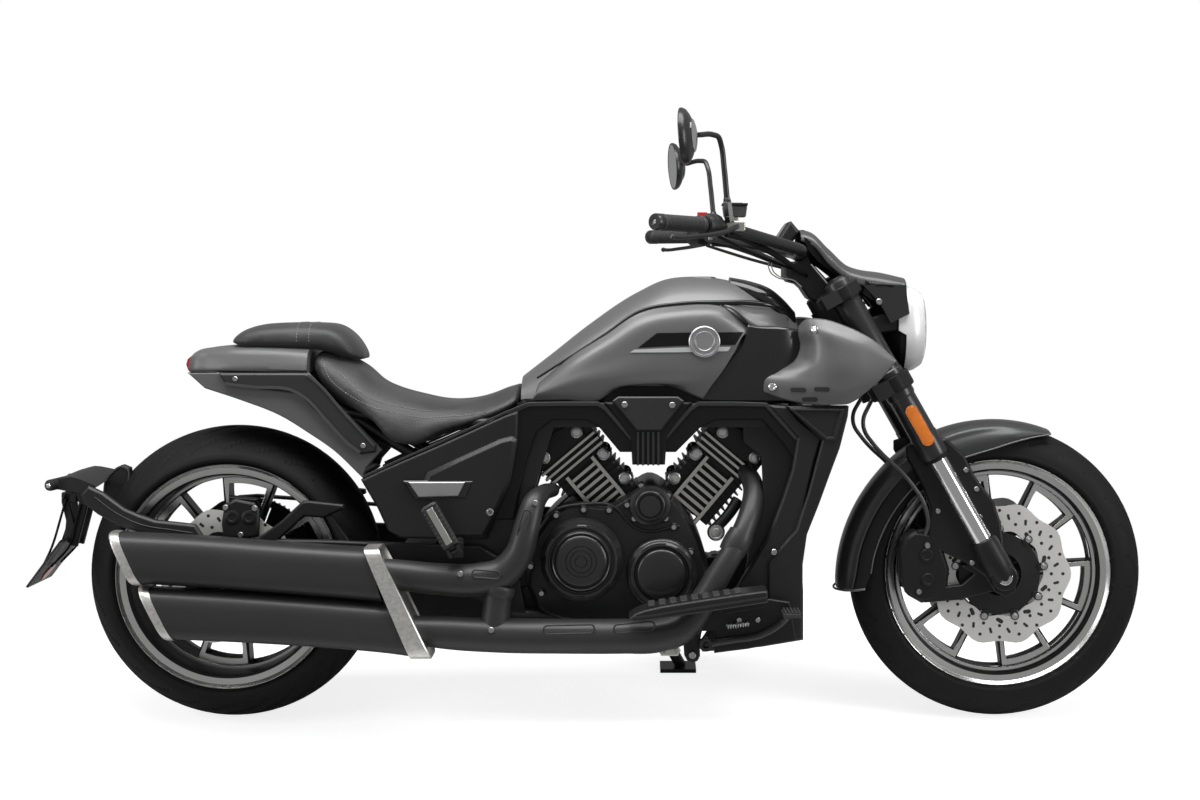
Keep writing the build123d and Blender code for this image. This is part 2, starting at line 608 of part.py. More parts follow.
# ---- Exhaust: a pipe from each cylinder, a silver band and two stacked silencers on the right ----
PIPE_R = 27.0
PIPE_Y = SILENCER_Y + 2
rear_route = [(745, -60, 512), (700, -128, 508), (652, -206, 494), (606, PIPE_Y + 4, 350), (340, PIPE_Y, 340)]
front_route = [
    (1088, -70, 560), (1112, -160, 455), (1035, PIPE_Y, 350), (930, PIPE_Y, 219), (390, PIPE_Y, 219),
]
rear_pipe = bent(rear_route, PIPE_R, 40)
front_pipe = bent(front_route, PIPE_R, 50) + bar((587, -208, 325), (587, -208, 240), 22)
parts["exhaust_pipes"] = rear_pipe + front_pipe - front_cylinder - rear_cylinder

# The two silencers, upper and lower: each end's place along and above the ground, and its height there.
SILENCERS = [
    {"front": (345.0, 343.0, 97.0), "back": (-170.0, 380.0, 97.0)},
    {"front": (395.0, 234.0, 103.0), "back": (-105.0, 262.0, 98.0)},
]
silencers = []
for silencer in SILENCERS:
    ends = []
    for x, z, high in (silencer["front"], silencer["back"]):
        plane = Plane(origin=(x, SILENCER_Y, z), x_dir=(0, 1, 0), z_dir=(-1, 0, 0))
        ends.append(plane * RectangleRounded(100, high, 40))
    silencers.append(loft(ends))
muffler_up, muffler_low = silencers
band = slab([(317, 392), (350, 392), (453, 175), (424, 175)], SILENCER_Y - 60, SILENCER_Y - 52)
band = band + slab([(330, 392), (350, 392), (443, 186), (424, 186)], SILENCER_Y - 52, SILENCER_Y + 52)
band = band - muffler_up - muffler_low - rear_pipe - front_pipe
parts["silencers"] = Compound([muffler_up - rear_pipe, muffler_low - front_pipe, band])

# ---- Number plate holder carried by the swingarm ----
plate_arm = slab([
    (-40, 412), (-56, 440), (-140, 445), (-205, 470), (-250, 505), (-282, 520), (-300, 500), (-290, 478), (
        -262, 455,
    ),
    (-215, 430), (-150, 408), (-62, 396),
], -168, -150)
PLATE_X = -REAR_TYRE_R - PLATE_GAP
PLATE_Z = REAR_AXLE_Z + 210
hugger = side_loft([
    (-150, [(100, -16), (42, 6), (0, -6), (0, -18), (72, -28)]),
    (40, [(100, 2), (42, 12), (0, 0), (0, -16), (72, -16)]),
])
plate_hanger = hugger + slab([(0, 0), (34, 0), (46, -58), (20, -158), (-8, -148), (16, -58)], -30, 30)
plate_bracket = side_loft([
    (-85, [(4, -140), (0, -136), (-74, -236), (-68, -240)]),
    (85, [(4, -140), (0, -136), (-74, -236), (-68, -240)]),
])
rear_reflector = Pos(-52.8, 0, -220.6) * Rot(0, 39, 0) * Box(9, 44, 44)
plate_lamp = box_at(-14, 22, -60, -29, -62, -36)
lamp_bar = both(bar((37, 20, -6), (27, 175, -6), 12)) - plate_hanger
at_plate = Pos(PLATE_X, 0, PLATE_Z)
plate_group = plate_hanger + plate_bracket + plate_lamp + lamp_bar
rear_reflector = at_plate * (rear_reflector - plate_bracket)
parts["plate_holder"] = Compound([at_plate * plate_group + plate_arm, rear_reflector])

# ---- Belt final drive on the left: a fixed loop round the rear pulley and a small front one ----
def belt_loop(r_rear, r_front):
    """The outline of a belt round both pulleys, as (x, z) points."""
    dx = FRONT_PULLEY[0]
    dz = FRONT_PULLEY[1] - REAR_AXLE_Z
    span = math.hypot(dx, dz)
    slope = math.degrees(math.atan2(dz, dx))
    open_angle = math.degrees(math.acos((r_rear - r_front) / span))
    points = []
    for n in range(13):
        a = math.radians(slope + open_angle + (360 - 2 * open_angle) * n / 12)
        points.append((r_rear * math.cos(a), REAR_AXLE_Z + r_rear * math.sin(a)))
    for n in range(9):
        a = math.radians(slope - open_angle + 2 * open_angle * n / 8)
        points.append((FRONT_PULLEY[0] + r_front * math.cos(a), FRONT_PULLEY[1] + r_front * math.sin(a)))
    return points


belt_low = PULLEY_Y + 1
belt_high = PULLEY_Y + BELT_W - 1
rear_inside = (PULLEY_R + SEAT_GAP) / math.cos(math.radians(8.1))
front_inside = (FRONT_PULLEY_R + SEAT_GAP) / math.cos(math.radians(10.4))
belt = slab(belt_loop(rear_inside + BELT_T, front_inside + BELT_T), belt_low, belt_high)
belt = belt - slab(belt_loop(rear_inside, front_inside), belt_low - 1, belt_high + 1)
parts["drive_belt"] = belt
front_pulley = spin(FRONT_PULLEY[0], FRONT_PULLEY[1], FRONT_PULLEY_R, PULLEY_Y, PULLEY_Y + BELT_W)
front_pulley = front_pulley + spin(FRONT_PULLEY[0], FRONT_PULLEY[1], 20.0, PULLEY_Y - 9, PULLEY_Y + BELT_W)
parts["crankcase"] = Compound([case, front_pulley])
pulley_cover = side_loft([
    (
        PULLEY_Y + BELT_W + 5,
        [(590, 290), (620, 262), (712, 262), (764, 312), (764, 388), (712, 428), (610, 425)],
    ),
    (
        PULLEY_Y + BELT_W + 24,
        [(600, 296), (626, 272), (704, 272), (750, 316), (750, 384), (704, 414), (618, 412)],
    ),
])
cover_rim = washer(FRONT_PULLEY[0], FRONT_PULLEY[1], 94.0, 85.0, CASE_SIDE, PULLEY_Y + BELT_W + 6)
pulley_cover = pulley_cover + (cover_rim - box_at(500, 705, 100, 200, 200, 500))
parts["engine_covers"] = Compound(round_covers + [pump - case, pulley_cover])

# ---- Footboards, their brackets and the foot controls ----
board_outline = [
    (857, 266), (882, 280), (922, 290), (1084, 315), (1141, 321), (1141, 296), (1084, 288), (892, 260),
]
board = slab(board_outline, -330, -246)
bracket_outline = [(1012, 250), (1060, 262), (1193, 282), (1197, 236), (1100, 222), (1030, 165), (1005, 165)]
board_bracket = slab(bracket_outline, -222, -212)
board_bracket = board_bracket + slab([(1060, 288), (1141, 300), (1141, 276), (1060, 262)], -252, -212)
board_bracket = board_bracket + bar((1120, -100, 214), (1120, -216, 240), 12)
footboard = board + board_bracket - frame_solid
pedal = bent([(1018, -231, 190), (1150, -231, 214), (1215, -250, 262)], 8, 25) + box_at(
    1196, 1236, -300, -238, 262, 276,
)
pedal = pedal + spin(1018, 190, 14, -240, -222)
shifter = bent([(1018, 231, 190), (1150, 231, 214), (1215, 250, 262)], 7, 25) + spin(1018, 190, 14, 222, 240)
shifter = shifter + spin(1215, 268, 11, 244, 300)
pair("footboards", footboard)
parts["foot_controls"] = Compound([pedal, shifter])
peg_mount = bar((505, -118, 404), (505, -232, 404), 9) + box_at(484, 516, -238, -226, 377, 408)

# ---- Passenger pegs, folded up along the machine, each swinging out on its own pin ----
PEG_PIVOT = (499.0, -252.0, 392.0)
PEG_LEAN = 30.0
PEG_LONG = 122.0
peg_frame = Plane(
    origin=PEG_PIVOT,
    x_dir=(math.cos(math.radians(PEG_LEAN)), 0, math.sin(math.radians(PEG_LEAN))),
    z_dir=(-math.sin(math.radians(PEG_LEAN)), 0, math.cos(math.radians(PEG_LEAN))),
).location
peg = Pos(0, 0, PEG_LONG / 2 + 12) * Box(34, 22, PEG_LONG - 24) + Pos(0, 0, 12) * Box(14, 16, 34)
peg = peg - Rot(0, 90, 0) * Cylinder(4.3, 40)
peg_pin = Rot(0, 90, 0) * Cylinder(4.0, 30) + Pos(11.5, 7, 0) * Box(7, 26, 18) + Pos(-11.5, 7, 0) * Box(
    7, 26, 18,
)
parts["passenger_peg_right"] = peg_frame * peg
parts["passenger_peg_left"] = other_side(peg_frame * peg)
peg_holder = peg_mount + peg_frame * peg_pin - frame_solid

# ---- Side stand on the left: a leg on a tilted pin, folding back and up ----
def toward(a, b):
    v = Vector(*b) - Vector(*a)
    return v.normalized()


stand_origin = Vector(*STAND_PIVOT)
GROUND_SLOPE = math.tan(math.radians(LEAN))
foot_y = STAND_REACH
foot_z = foot_y * GROUND_SLOPE - GROUND_DROP / math.cos(math.radians(LEAN))
foot = (STAND_PIVOT[0] + STAND_FORWARD, foot_y, foot_z)
leg_down = toward(STAND_PIVOT, (foot[0], foot_y - 4, foot_z + 9))
leg_back = Vector(-0.93, 0.30, -0.20).normalized()
pin_axis = leg_down.cross(leg_back).normalized()
inward = Vector(0, -40, 22)
inward = (inward - pin_axis * inward.dot(pin_axis)).normalized()
eye_frame = Plane(origin=stand_origin, x_dir=leg_down, z_dir=pin_axis).location
clevis_frame = Plane(origin=stand_origin, x_dir=inward, z_dir=pin_axis).location
leg = eye_frame * (Cylinder(18, 16) + Pos(16, 0, 0) * Box(30, 24, 16) - Cylinder(8.3, 20))
leg_end = (foot[0], foot_y - 4, foot_z + 9)
start = stand_origin + leg_down * 27
leg = leg + bar(tuple(start), leg_end, STAND_TUBE_R)
pad_plate = Pos(foot[0], foot_y, foot_z) * Rot(LEAN, 0, 0) * box_at(-48, 36, -32, 26, 0, 9)
leg_trim = Pos(foot[0], foot_y, foot_z) * Rot(LEAN, 0, 0) * box_at(-200, 200, -100, 100, -60, 0)
parts["side_stand"] = leg + pad_plate - leg_trim
clevis = Pos(14, 0, 12.3) * Box(56, 36, 8) + Pos(14, 0, -12.3) * Box(56, 36, 8) + Pos(34, 0, 0) * Box(
    16, 36, 20,
)
clevis = clevis + Cylinder(8, 30)
stand_clevis = clevis_frame * clevis - case
frame_solid = frame_solid - case - tank - console - tail - parts["exhaust_pipes"]
parts["main_frame"] = Compound([
    frame_solid - stand_clevis, stand_clevis, pivot_bolt, peg_holder, other_side(peg_holder)
])

# ---- Fork, clamps and steering stem ----
def fork_frame(t, forward=0.0):
    plane = Plane(origin=fork(t, 0, forward), x_dir=(COS_RAKE, 0, SIN_RAKE), z_dir=(-SIN_RAKE, 0, COS_RAKE))
    return plane.location


CLAMP_T = 34.0
fork_tube = bar(fork(FORK_TUBE_LOW, -FORK_SPREAD), fork(FORK_TOP, -FORK_SPREAD), FORK_TUBE_R)
tube_pair = both(fork_tube)
clamp_plate = Pos(-12, 0, 0) * Box(76, 2 * FORK_SPREAD + 76, CLAMP_T)
low_clamp = fork_frame(HEAD_LOW - SEAT_GAP - CLAMP_T / 2) * clamp_plate
stem = bar(fork(HEAD_LOW - CLAMP_T, 0, -FORK_OFFSET), fork(HEAD_HIGH + 30, 0, -FORK_OFFSET), STEM_R)
stem_collar = fork_frame(HEAD_LOW - SEAT_GAP - CLAMP_T / 2, -FORK_OFFSET) * Cylinder(30, CLAMP_T)
low_clamp = low_clamp + stem + stem_collar - tube_pair
top_clamp = fork_frame(HEAD_HIGH + SEAT_GAP + 14) * Pos(-12, 0, 0) * Box(76, 2 * FORK_SPREAD + 76, 28)
top_clamp = top_clamp + fork_frame(HEAD_HIGH + SEAT_GAP + 14, -FORK_OFFSET) * Cylinder(30, 28)
top_clamp = top_clamp - tube_pair - stem

foot_block = fork_frame(FORK_FOOT_TOP / 2 - 13) * Pos(0, -FORK_SPREAD, 0) * Box(46, 46, FORK_FOOT_TOP + 26)
guard_stay = slab([
    (-112, 274), (-76, 278), (-48, 187), (-42, 102), (-5, 80), (-12, 27), (-48, 27), (-60, 74), (-126, 118),
    (-196, 210), (-174, 228), (-112, 152), (-70, 122), (-74, 182),
], -84.9, -76.0)
guard_stay = guard_stay + spin(-94, 250, 9, -77, -74) + spin(-182, 210, 9, -77, -74)
caliper_lug = slab([(-155, 84), (-20, 54), (0, -18), (-160, -33)], -85, -76)
axle_hole = spin(0, 0, AXLE_R, -160, 0) + spin(0, 0, AXLE_COLLAR_R, -85, 0)
fork_foot = foot_block + at_front_axle * (guard_stay + caliper_lug) - at_front_axle * axle_hole
stanchion = bar(fork(FORK_FOOT_TOP, -FORK_SPREAD), fork(FORK_TUBE_LOW, -FORK_SPREAD), STANCHION_R)
pair("fork_feet", fork_foot)
pair("fork_stanchions", stanchion)
caliper = slab([(-190, 74), (-142, 90), (-120, 34), (-132, -50), (-166, -56), (-196, 12)], -100, -46)
disc_slot_half = FRONT_DISC_T / 2 + DISC_CLEAR
front_slot = spin(
    0, 0, FRONT_DISC_R + DISC_CLEAR, -FRONT_DISC_Y - disc_slot_half, -FRONT_DISC_Y + disc_slot_half,
)
front_caliper = at_front_axle * (caliper - front_slot) - fork_foot
pair("front_calipers", front_caliper)
AXLE_OUT = FORK_SPREAD + 28
SPACER_OUT = FORK_SPREAD - 23
spacer_in = FRONT_DISC_Y + FRONT_DISC_T / 2 + SEAT_GAP
spacer = washer(0, 0, AXLE_COLLAR_R, AXLE_R - 1, spacer_in, SPACER_OUT)
front_axle = spin(0, 0, AXLE_R, -AXLE_OUT, AXLE_OUT) + both(spacer) - spin(
    0, 0, AXLE_BORE_R, -AXLE_OUT - 4, AXLE_OUT + 4,
)
parts["front_axle"] = at_front_axle * front_axle

# The guard's section from its crown down to one skirt, as (radius, y), outside and then back inside.
GUARD_R = FRONT_TYRE_R + GUARD_GAP
GUARD_SKIRT = FRONT_TYRE_HALF + 9.0
guard_outer = [
    (GUARD_R, 0), (GUARD_R - 3, 30), (GUARD_R - 13, 58), (GUARD_R - 30, GUARD_SKIRT),
    (GUARD_R - 66, GUARD_SKIRT),
]
guard_inner = [(GUARD_R - 66, GUARD_SKIRT - 3.5), (GUARD_R - 30, GUARD_SKIRT - 3.5), (GUARD_R - 16, 55), (
    GUARD_R - 7, 28,
),
               (GUARD_R - GUARD_T, 0)]
guard_ring = guard_outer + guard_inner + [(r, -y) for r, y in reversed(guard_inner[:-1])]
guard_ring = guard_ring + [(r, -y) for r, y in reversed(guard_outer[1:])]
guard = Rot(0, -188, 0) * revolve(face_of([(r, y, 0) for r, y in guard_ring]), Axis.Y, 120)
nose_cut = slab([(-70, 252), (40, 284), (130, 322), (240, 242), (40, 82), (-100, 162)], -90, 90)
parts["front_mudguard"] = at_front_axle * (guard - nose_cut)
reflector = fork_frame(373) * Pos(0, -FORK_SPREAD - FORK_TUBE_R + 1, 0) * Box(27, 8, 95) - tube_pair
parts["fork_outer_tubes"] = Compound([tube_pair, reflector, other_side(reflector)])

# ---- Handlebar, grips, switches, levers, mirrors ----
bar_half = [(HEAD_X - 57, 0, HEAD_TOP_Z + 114), (HEAD_X - 61, -120, HEAD_TOP_Z + 124),
            (HEAD_X - 239, -292, HEAD_TOP_Z + 168), (HEAD_X - 375, -432, HEAD_TOP_Z + 171)]
half_bar = bent(bar_half, BAR_R, 45)
handlebar = half_bar + other_side(half_bar) + spin(HEAD_X - 57, HEAD_TOP_Z + 114, BAR_R, -12, 12)
parts["handlebar"] = handlebar
grip_dir = toward(bar_half[2], bar_half[3])
grip_a = Vector(*bar_half[2]) + grip_dir * 62
grip_b = Vector(*bar_half[3]) + grip_dir * 8
grip = bar(tuple(grip_a), tuple(grip_b), GRIP_R) - half_bar
pair("grips", grip)
box_a = Vector(*bar_half[2]) + grip_dir * 18
box_b = Vector(*bar_half[2]) + grip_dir * 58
switch = bar(tuple(box_a), tuple(box_b), 25) - half_bar
lever = at_head * bent([(-211, -300, 174), (-237, -340, 170), (-349, -470, 160)], 6, 20)
perch = at_head * box_at(-239, -191, -300, -268, 158, 186) - half_bar - switch
reservoir = at_head * box_at(-237, -191, -300, -262, 186, 216)
hand_lever = lever + perch - switch - half_bar
parts["bar_controls"] = Compound([
    switch, other_side(switch), hand_lever, reservoir - hand_lever, other_side(hand_lever)
])
mirror_stem = at_head * bent(
    [(-223, -298, 174), (-243, -318, 333), (-255, -336, 360), (-304, -398, 348)], 5.5, 12,
)
mirror_head = at_head * Pos(-314, -408, 342) * Rot(0, 88, 8) * Cylinder(MIRROR_R, 24)
mirror_stem = mirror_stem - hand_lever - switch - reservoir - half_bar
pair("mirrors", mirror_stem + mirror_head)

riser = at_head * slab([
    (-93, 68), (-91, 100), (-58, 102), (-41, 120), (-27, 93), (17, 44), (1, 8), (-64, 13),
], -44, 44)
display = at_head * slab([(-115, 139), (-80, 189), (-60, 167), (-87, 128)], -55, 55)
riser = riser + at_head * slab([(-81, 138), (-63, 164), (-37, 132), (-49, 108)], -20, 20)
riser = riser - top_clamp - low_clamp - handlebar - tube_pair - display
cowl_stations = [
    (-59, [(0, 168), (60, 166), (74, 154), (70, 148), (0, 156)]),
    (11, [(0, 126), (74, 122), (92, 93), (86, 80), (0, 114)]),
    (81, [(0, 93), (80, 83), (96, 53), (90, 40), (0, 78)]),
    (169, [(0, 66), (66, 60), (84, 48), (80, 40), (0, 54)]),
]
parts["bar_riser"] = Compound([riser, display])
lamp_cowl = at_head * end_loft(cowl_stations) - handlebar - riser - display
parts["headlight_cowl"] = lamp_cowl
shell_stations = [
    (96, [(0, 13), (40, 10), (62, -12), (66, -42), (60, -77), (40, -92), (0, -94)]),
    (151, [(0, 46), (50, 42), (86, 13), (94, -42), (84, -97), (48, -126), (0, -132)]),
    (191, [(0, 51), (52, 46), (90, 16), (98, -42), (88, -102), (52, -134), (0, -140)]),
    (211, [(0, 40), (50, 36), (84, 10), (92, -42), (82, -94), (50, -124), (0, -129)]),
]
lamp_shell = at_head * end_loft(shell_stations)
lens_stations = [
    (211.3, [(0, 34), (46, 30), (78, 6), (86, -42), (76, -90), (46, -118), (0, -123)]),
    (219, [(0, 26), (42, 22), (70, 2), (78, -42), (70, -86), (42, -110), (0, -114)]),
]
parts["headlight"] = Compound([lamp_shell, at_head * end_loft(lens_stations)])
lamp_arm = at_head * slab([(107, 13), (71, 50), (163, 50), (171, -12), (131, -32)], -104, -70)
lamp_arm = lamp_arm - lamp_shell - tube_pair - lamp_cowl
parts["fork_clamps"] = Compound([low_clamp, top_clamp + lamp_arm + other_side(lamp_arm)])


def hose_line(points, r):
    """A round hose through its points, each bend as large as half of its shorter run allows."""
    radii = []
    for before, corner, after in zip(points, points[1:], points[2:]):
        run_in = Vector(*corner) - Vector(*before)
        run_out = Vector(*after) - Vector(*corner)
        half_turn = math.radians(run_in.get_angle(run_out)) / 2
        radii.append(round(0.45 * min(run_in.length, run_out.length) / math.tan(half_turn), 1))
    print("hose bend radii", radii)
    path = FilletPolyline(*points, radius=radii)
    return sweep(
        Plane(origin=points[0], z_dir=Vector(*points[1]) - Vector(*points[0])) * Circle(r), path=path,
    )


HOSE_R = 4.5
# Front brake hose, from under the lower clamp, back round the guard and down to its caliper.
# The route starts from the head's top and ends by the axle, each point as (forward, y, up) from there.
hose_from_head = [(98, -76, -190), (64, -92, -252), (108, -106, -310)]
hose_from_axle = [(-214, -114, 222), (-170, -114, 162), (-158, -106, 112), (-166, -92, 84)]
hose_points = [(HEAD_X + x, y, HEAD_TOP_Z + z) for x, y, z in hose_from_head]
hose_points = hose_points + [(WHEELBASE + x, y, FRONT_AXLE_Z + z) for x, y, z in hose_from_axle]
hose = hose_line(hose_points, HOSE_R) - low_clamp - front_caliper
pair("front_brake_hoses", hose)

# ---- Everything leans over onto the side stand; the origin is under the middle of the box ----
low = [1e9, 1e9]
high = [-1e9, -1e9]
leaned = {}
for name, shape in parts.items():
    leaned[name] = Pos(0, 0, GROUND_DROP) * Rot(-LEAN, 0, 0) * shape
    box = leaned[name].bounding_box()
    low = [min(low[0], box.min.X), min(low[1], box.min.Y)]
    high = [max(high[0], box.max.X), max(high[1], box.max.Y)]
SHIFT_X = -(low[0] + high[0]) / 2
SHIFT_Y = -(low[1] + high[1]) / 2
for name, shape in leaned.items():
    export_step(Pos(SHIFT_X, SHIFT_Y, 0) * shape, "parts/" + name + ".step")
print("shift", round(SHIFT_X, 3), round(SHIFT_Y, 3), "pieces", len(parts))
print("stand pin", tuple(pin_axis), "leg", tuple(leg_down), "foot", foot)
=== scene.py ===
"""Visual model of the cruiser motorcycle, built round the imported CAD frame."""
import json
import math

import bmesh
import bpy
import numpy as np
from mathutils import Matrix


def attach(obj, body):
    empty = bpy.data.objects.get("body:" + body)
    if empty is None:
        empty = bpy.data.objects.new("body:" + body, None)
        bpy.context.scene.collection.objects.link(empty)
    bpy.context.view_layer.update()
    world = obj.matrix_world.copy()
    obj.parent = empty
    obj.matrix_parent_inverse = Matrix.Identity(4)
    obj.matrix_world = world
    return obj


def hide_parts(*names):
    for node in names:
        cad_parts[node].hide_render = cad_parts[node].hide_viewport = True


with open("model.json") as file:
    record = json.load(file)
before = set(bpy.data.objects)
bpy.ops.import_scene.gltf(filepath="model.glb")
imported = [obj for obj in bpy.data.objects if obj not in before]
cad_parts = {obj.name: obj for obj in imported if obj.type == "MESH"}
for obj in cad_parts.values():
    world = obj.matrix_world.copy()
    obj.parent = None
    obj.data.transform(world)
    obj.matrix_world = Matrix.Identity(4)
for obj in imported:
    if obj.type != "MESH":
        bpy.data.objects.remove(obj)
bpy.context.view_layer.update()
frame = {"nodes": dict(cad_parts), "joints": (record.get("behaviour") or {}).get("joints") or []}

# ---- Studio ----
# A long lens stands square to the leaning machine, level with the tank. The floor is a pale sheet that fades
# into the white surround, and the light is one wide soft box overhead with a weaker one at each end.
LEAN = math.radians(8.5)
SURROUND = (1.0, 1.0, 1.0, 1.0)
AMBIENT, MIRRORED = 0.16, 0.12
camera_data = bpy.data.cameras.new("camera")
camera_data.lens = 54.5455
camera_data.sensor_width = 36.0
camera_data.shift_x = -0.025
camera_data.shift_y = -0.08333
camera = bpy.data.objects.new("camera", camera_data)
camera.location = (0.0928, -3.9865, 1.4916)
camera.rotation_euler = (math.pi / 2 - LEAN, 0, 0)
scene = bpy.context.scene
scene.collection.objects.link(camera)
scene.camera = camera
scene.view_settings.view_transform = "Standard"


class Wire:
    """A socket in a node tree. Arithmetic on it adds Math nodes, and node() adds any other node."""

    def __init__(self, tree, socket=None):
        self.tree = tree
        self.socket = socket

    def node(self, kind, settings=None, values=None, out=0):
        """A new node: its settings first, a ramp's stops among them, then its sockets' values or links."""
        made = self.tree.nodes.new(kind)
        for key, value in (settings or {}).items():
            if key == "stops":
                ramp = made.color_ramp
                while len(ramp.elements) < len(value):
                    ramp.elements.new(0.5)
                for element, (place, shade) in zip(ramp.elements, value):
                    element.position = place
                    element.color = (shade, shade, shade, 1) if isinstance(shade, (int, float)) else (*shade, 1)
            else:
                setattr(made, key, value)
        for key, value in (values or {}).items():
            if isinstance(value, Wire):
                self.tree.links.new(value.socket, made.inputs[key])
            else:
                made.inputs[key].default_value = value
        return Wire(self.tree, made.outputs[out] if len(made.outputs) else None)

    def maths(self, operation, first, second):
        return self.node("ShaderNodeMath", {"operation": operation}, {0: first, 1: second})

    def __add__(self, other):
        return self.maths("ADD", self, other)

    def __radd__(self, other):
        return self.maths("ADD", other, self)

    def __sub__(self, other):
        return self.maths("SUBTRACT", self, other)

    def __rsub__(self, other):
        return self.maths("SUBTRACT", other, self)

    def __mul__(self, other):
        return self.maths("MULTIPLY", self, other)

    def __rmul__(self, other):
        return self.maths("MULTIPLY", other, self)

    def __truediv__(self, other):
        return self.maths("DIVIDE", self, other)


def material(name):
    """A new material with a Wire on its empty node tree and one on its Object coordinates."""
    made = bpy.data.materials.new(name)
    made.use_nodes = True
    made.node_tree.nodes.clear()
    base = Wire(made.node_tree)
    return made, base, base.node("ShaderNodeTexCoord", out="Object")


def shine_of(base, values):
    """A material's closing nodes: a Principled surface with these values, and the output."""
    surface = base.node("ShaderNodeBsdfPrincipled", values=values)
    base.node("ShaderNodeOutputMaterial", values={"Surface": surface})


def light(name, place, aim, size, power):
    """A square soft box at a place, facing a point."""
    data = bpy.data.lights.new(name, "AREA")
    data.shape = "RECTANGLE"
    data.size, data.size_y = size
    data.energy = power
    made = bpy.data.objects.new(name, data)
    made.location = place
    away = np.array(place, float) - np.array(aim, float)
    made.rotation_euler = (math.atan2(math.hypot(away[0], away[1]), away[2]), 0, math.atan2(away[0], -away[1]))
    scene.collection.objects.link(made)


light("softbox_top", (0.0, -0.5, 3.2), (0, 0, 0.5), (4.4, 1.6), 132)
light("softbox_front", (3.4, -1.8, 1.6), (0.3, 0, 0.6), (1.0, 2.0), 40)
light("softbox_rear", (-3.4, -1.8, 1.6), (-0.3, 0, 0.6), (1.0, 2.0), 32)

world = bpy.data.worlds.new("studio")
scene.world = world
world.use_nodes = True
air = Wire(world.node_tree)
world.node_tree.nodes.clear()
seen = air.node("ShaderNodeLightPath", out="Is Camera Ray") + air.node(
    "ShaderNodeLightPath", out="Is Transmission Ray",
)
shown = seen.node("ShaderNodeMath", {"operation": "MINIMUM"}, {0: seen, 1: 1.0})
glossy = air.node("ShaderNodeLightPath", out="Is Glossy Ray")
strength = shown * (1.0 - AMBIENT) + glossy * MIRRORED + AMBIENT
surround = air.node("ShaderNodeBackground", values={"Color": SURROUND, "Strength": strength})
air.node("ShaderNodeOutputWorld", values={"Surface": surround})

FLOOR_HALF = 4.0
floor_mesh = bpy.data.meshes.new("floor")
corner = np.array([(-1, -1, 0), (1, -1, 0), (1, 1, 0), (-1, 1, 0)], float) * FLOOR_HALF
floor_mesh.from_pydata(corner.tolist(), [], [(0, 1, 2, 3)])
floor = bpy.data.objects.new("floor", floor_mesh)
scene.collection.objects.link(floor)
paper, sheet, spot = material("studio_paper")
oval = sheet.node("ShaderNodeVectorMath", {"operation": "MULTIPLY"}, {0: spot, 1: (0.62, 1.0, 1.0)})
reach = sheet.node("ShaderNodeVectorMath", {"operation": "LENGTH"}, {0: oval}, out="Value")
fade = sheet.node(
    "ShaderNodeMapRange", {"interpolation_type": "SMOOTHSTEP"}, {0: reach, 1: 0.45, 2: 1.15, 3: 0.0, 4: 1.0},
)
FLOOR_GLOW = 0.8
glow = sheet.node("ShaderNodeLightPath", out="Is Camera Ray") * FLOOR_GLOW
matt = sheet.node(
    "ShaderNodeBsdfPrincipled",
    values={
        "Base Color": (0.7, 0.7, 0.7, 1), "Roughness": 0.9, "Specular IOR Level": 0.1, "Emission Color": (1, 1, 1, 1),
        "Emission Strength": glow,
    },
)
void = sheet.node("ShaderNodeBsdfTransparent")
sheet.node(
    "ShaderNodeOutputMaterial",
    values={"Surface": sheet.node("ShaderNodeMixShader", values={0: fade, 1: matt, 2: void})},
)
floor_mesh.materials.append(paper)

# ---- Tyres ----
# Radial tyres of black rubber, a round 130 at the front and a flat-crowned 240 at the rear. Curved rain
# grooves run outward from near the crown, and the side walls carry fine moulded rings.
place_of = {joint["name"]: joint["pos_m"] for joint in frame["joints"]}
REAR_AXLE = place_of["rear_wheel_spin"]
FRONT_AXLE = place_of["front_wheel_spin"]
CROWN_R = 65.0
DROP = CROWN_R * (1 - math.cos(LEAN)) / 1000
REAR_AXLE_Z = (REAR_AXLE[2] - DROP) / math.cos(LEAN) * 1000
SHIFT = (REAR_AXLE[0], REAR_AXLE[1] - REAR_AXLE_Z / 1000 * math.sin(LEAN), DROP)
FRONT_AXLE_X = (FRONT_AXLE[0] - REAR_AXLE[0]) * 1000
FRONT_AXLE_Z = (FRONT_AXLE[2] - DROP) / math.cos(LEAN) * 1000


def lean(points):
    """Upright millimetres, X forward from the rear axle and Z up from the ground, to the leaning machine's metres."""
    x, y, z = np.moveaxis(np.asarray(points, float) / 1000, -1, 0)
    sin, cos = math.sin(LEAN), math.cos(LEAN)
    return np.stack([x + SHIFT[0], y * cos + z * sin + SHIFT[1], z * cos - y * sin + SHIFT[2]], -1)


def grid_form(grid, wrap_rows=False, wrap_cols=False, caps=False):
    """A grid of points as corners and faces: a quad between each four neighbours, and an end cap on each end row."""
    rows, cols = grid.shape[:2]
    r = np.arange(rows if wrap_rows else rows - 1)[:, None]
    c = np.arange(cols if wrap_cols else cols - 1)[None, :]
    r2, c2 = (r + 1) % rows, (c + 1) % cols
    quads = np.stack(np.broadcast_arrays(r * cols + c, r * cols + c2, r2 * cols + c2, r2 * cols + c), -1)
    faces = quads.reshape(-1, 4).tolist()
    if caps:
        faces += [list(range(cols)), list(range((rows - 1) * cols, rows * cols))]
    return grid.reshape(-1, 3), faces


def rings(rows, caps=True):
    """Closed rings of points, each joined to the next, with the two end rings capped or left open."""
    return grid_form(np.asarray(rows, float), wrap_cols=True, caps=caps)


def circle(steps):
    """The angles of points spaced evenly round a circle."""
    return np.linspace(0, 2 * math.pi, steps, endpoint=False)


def swept(r, y, a):
    """Points at radius r and angle a round the Y axis, and y along it."""
    return np.stack(np.broadcast_arrays(r * np.cos(a), y, r * np.sin(a)), -1)


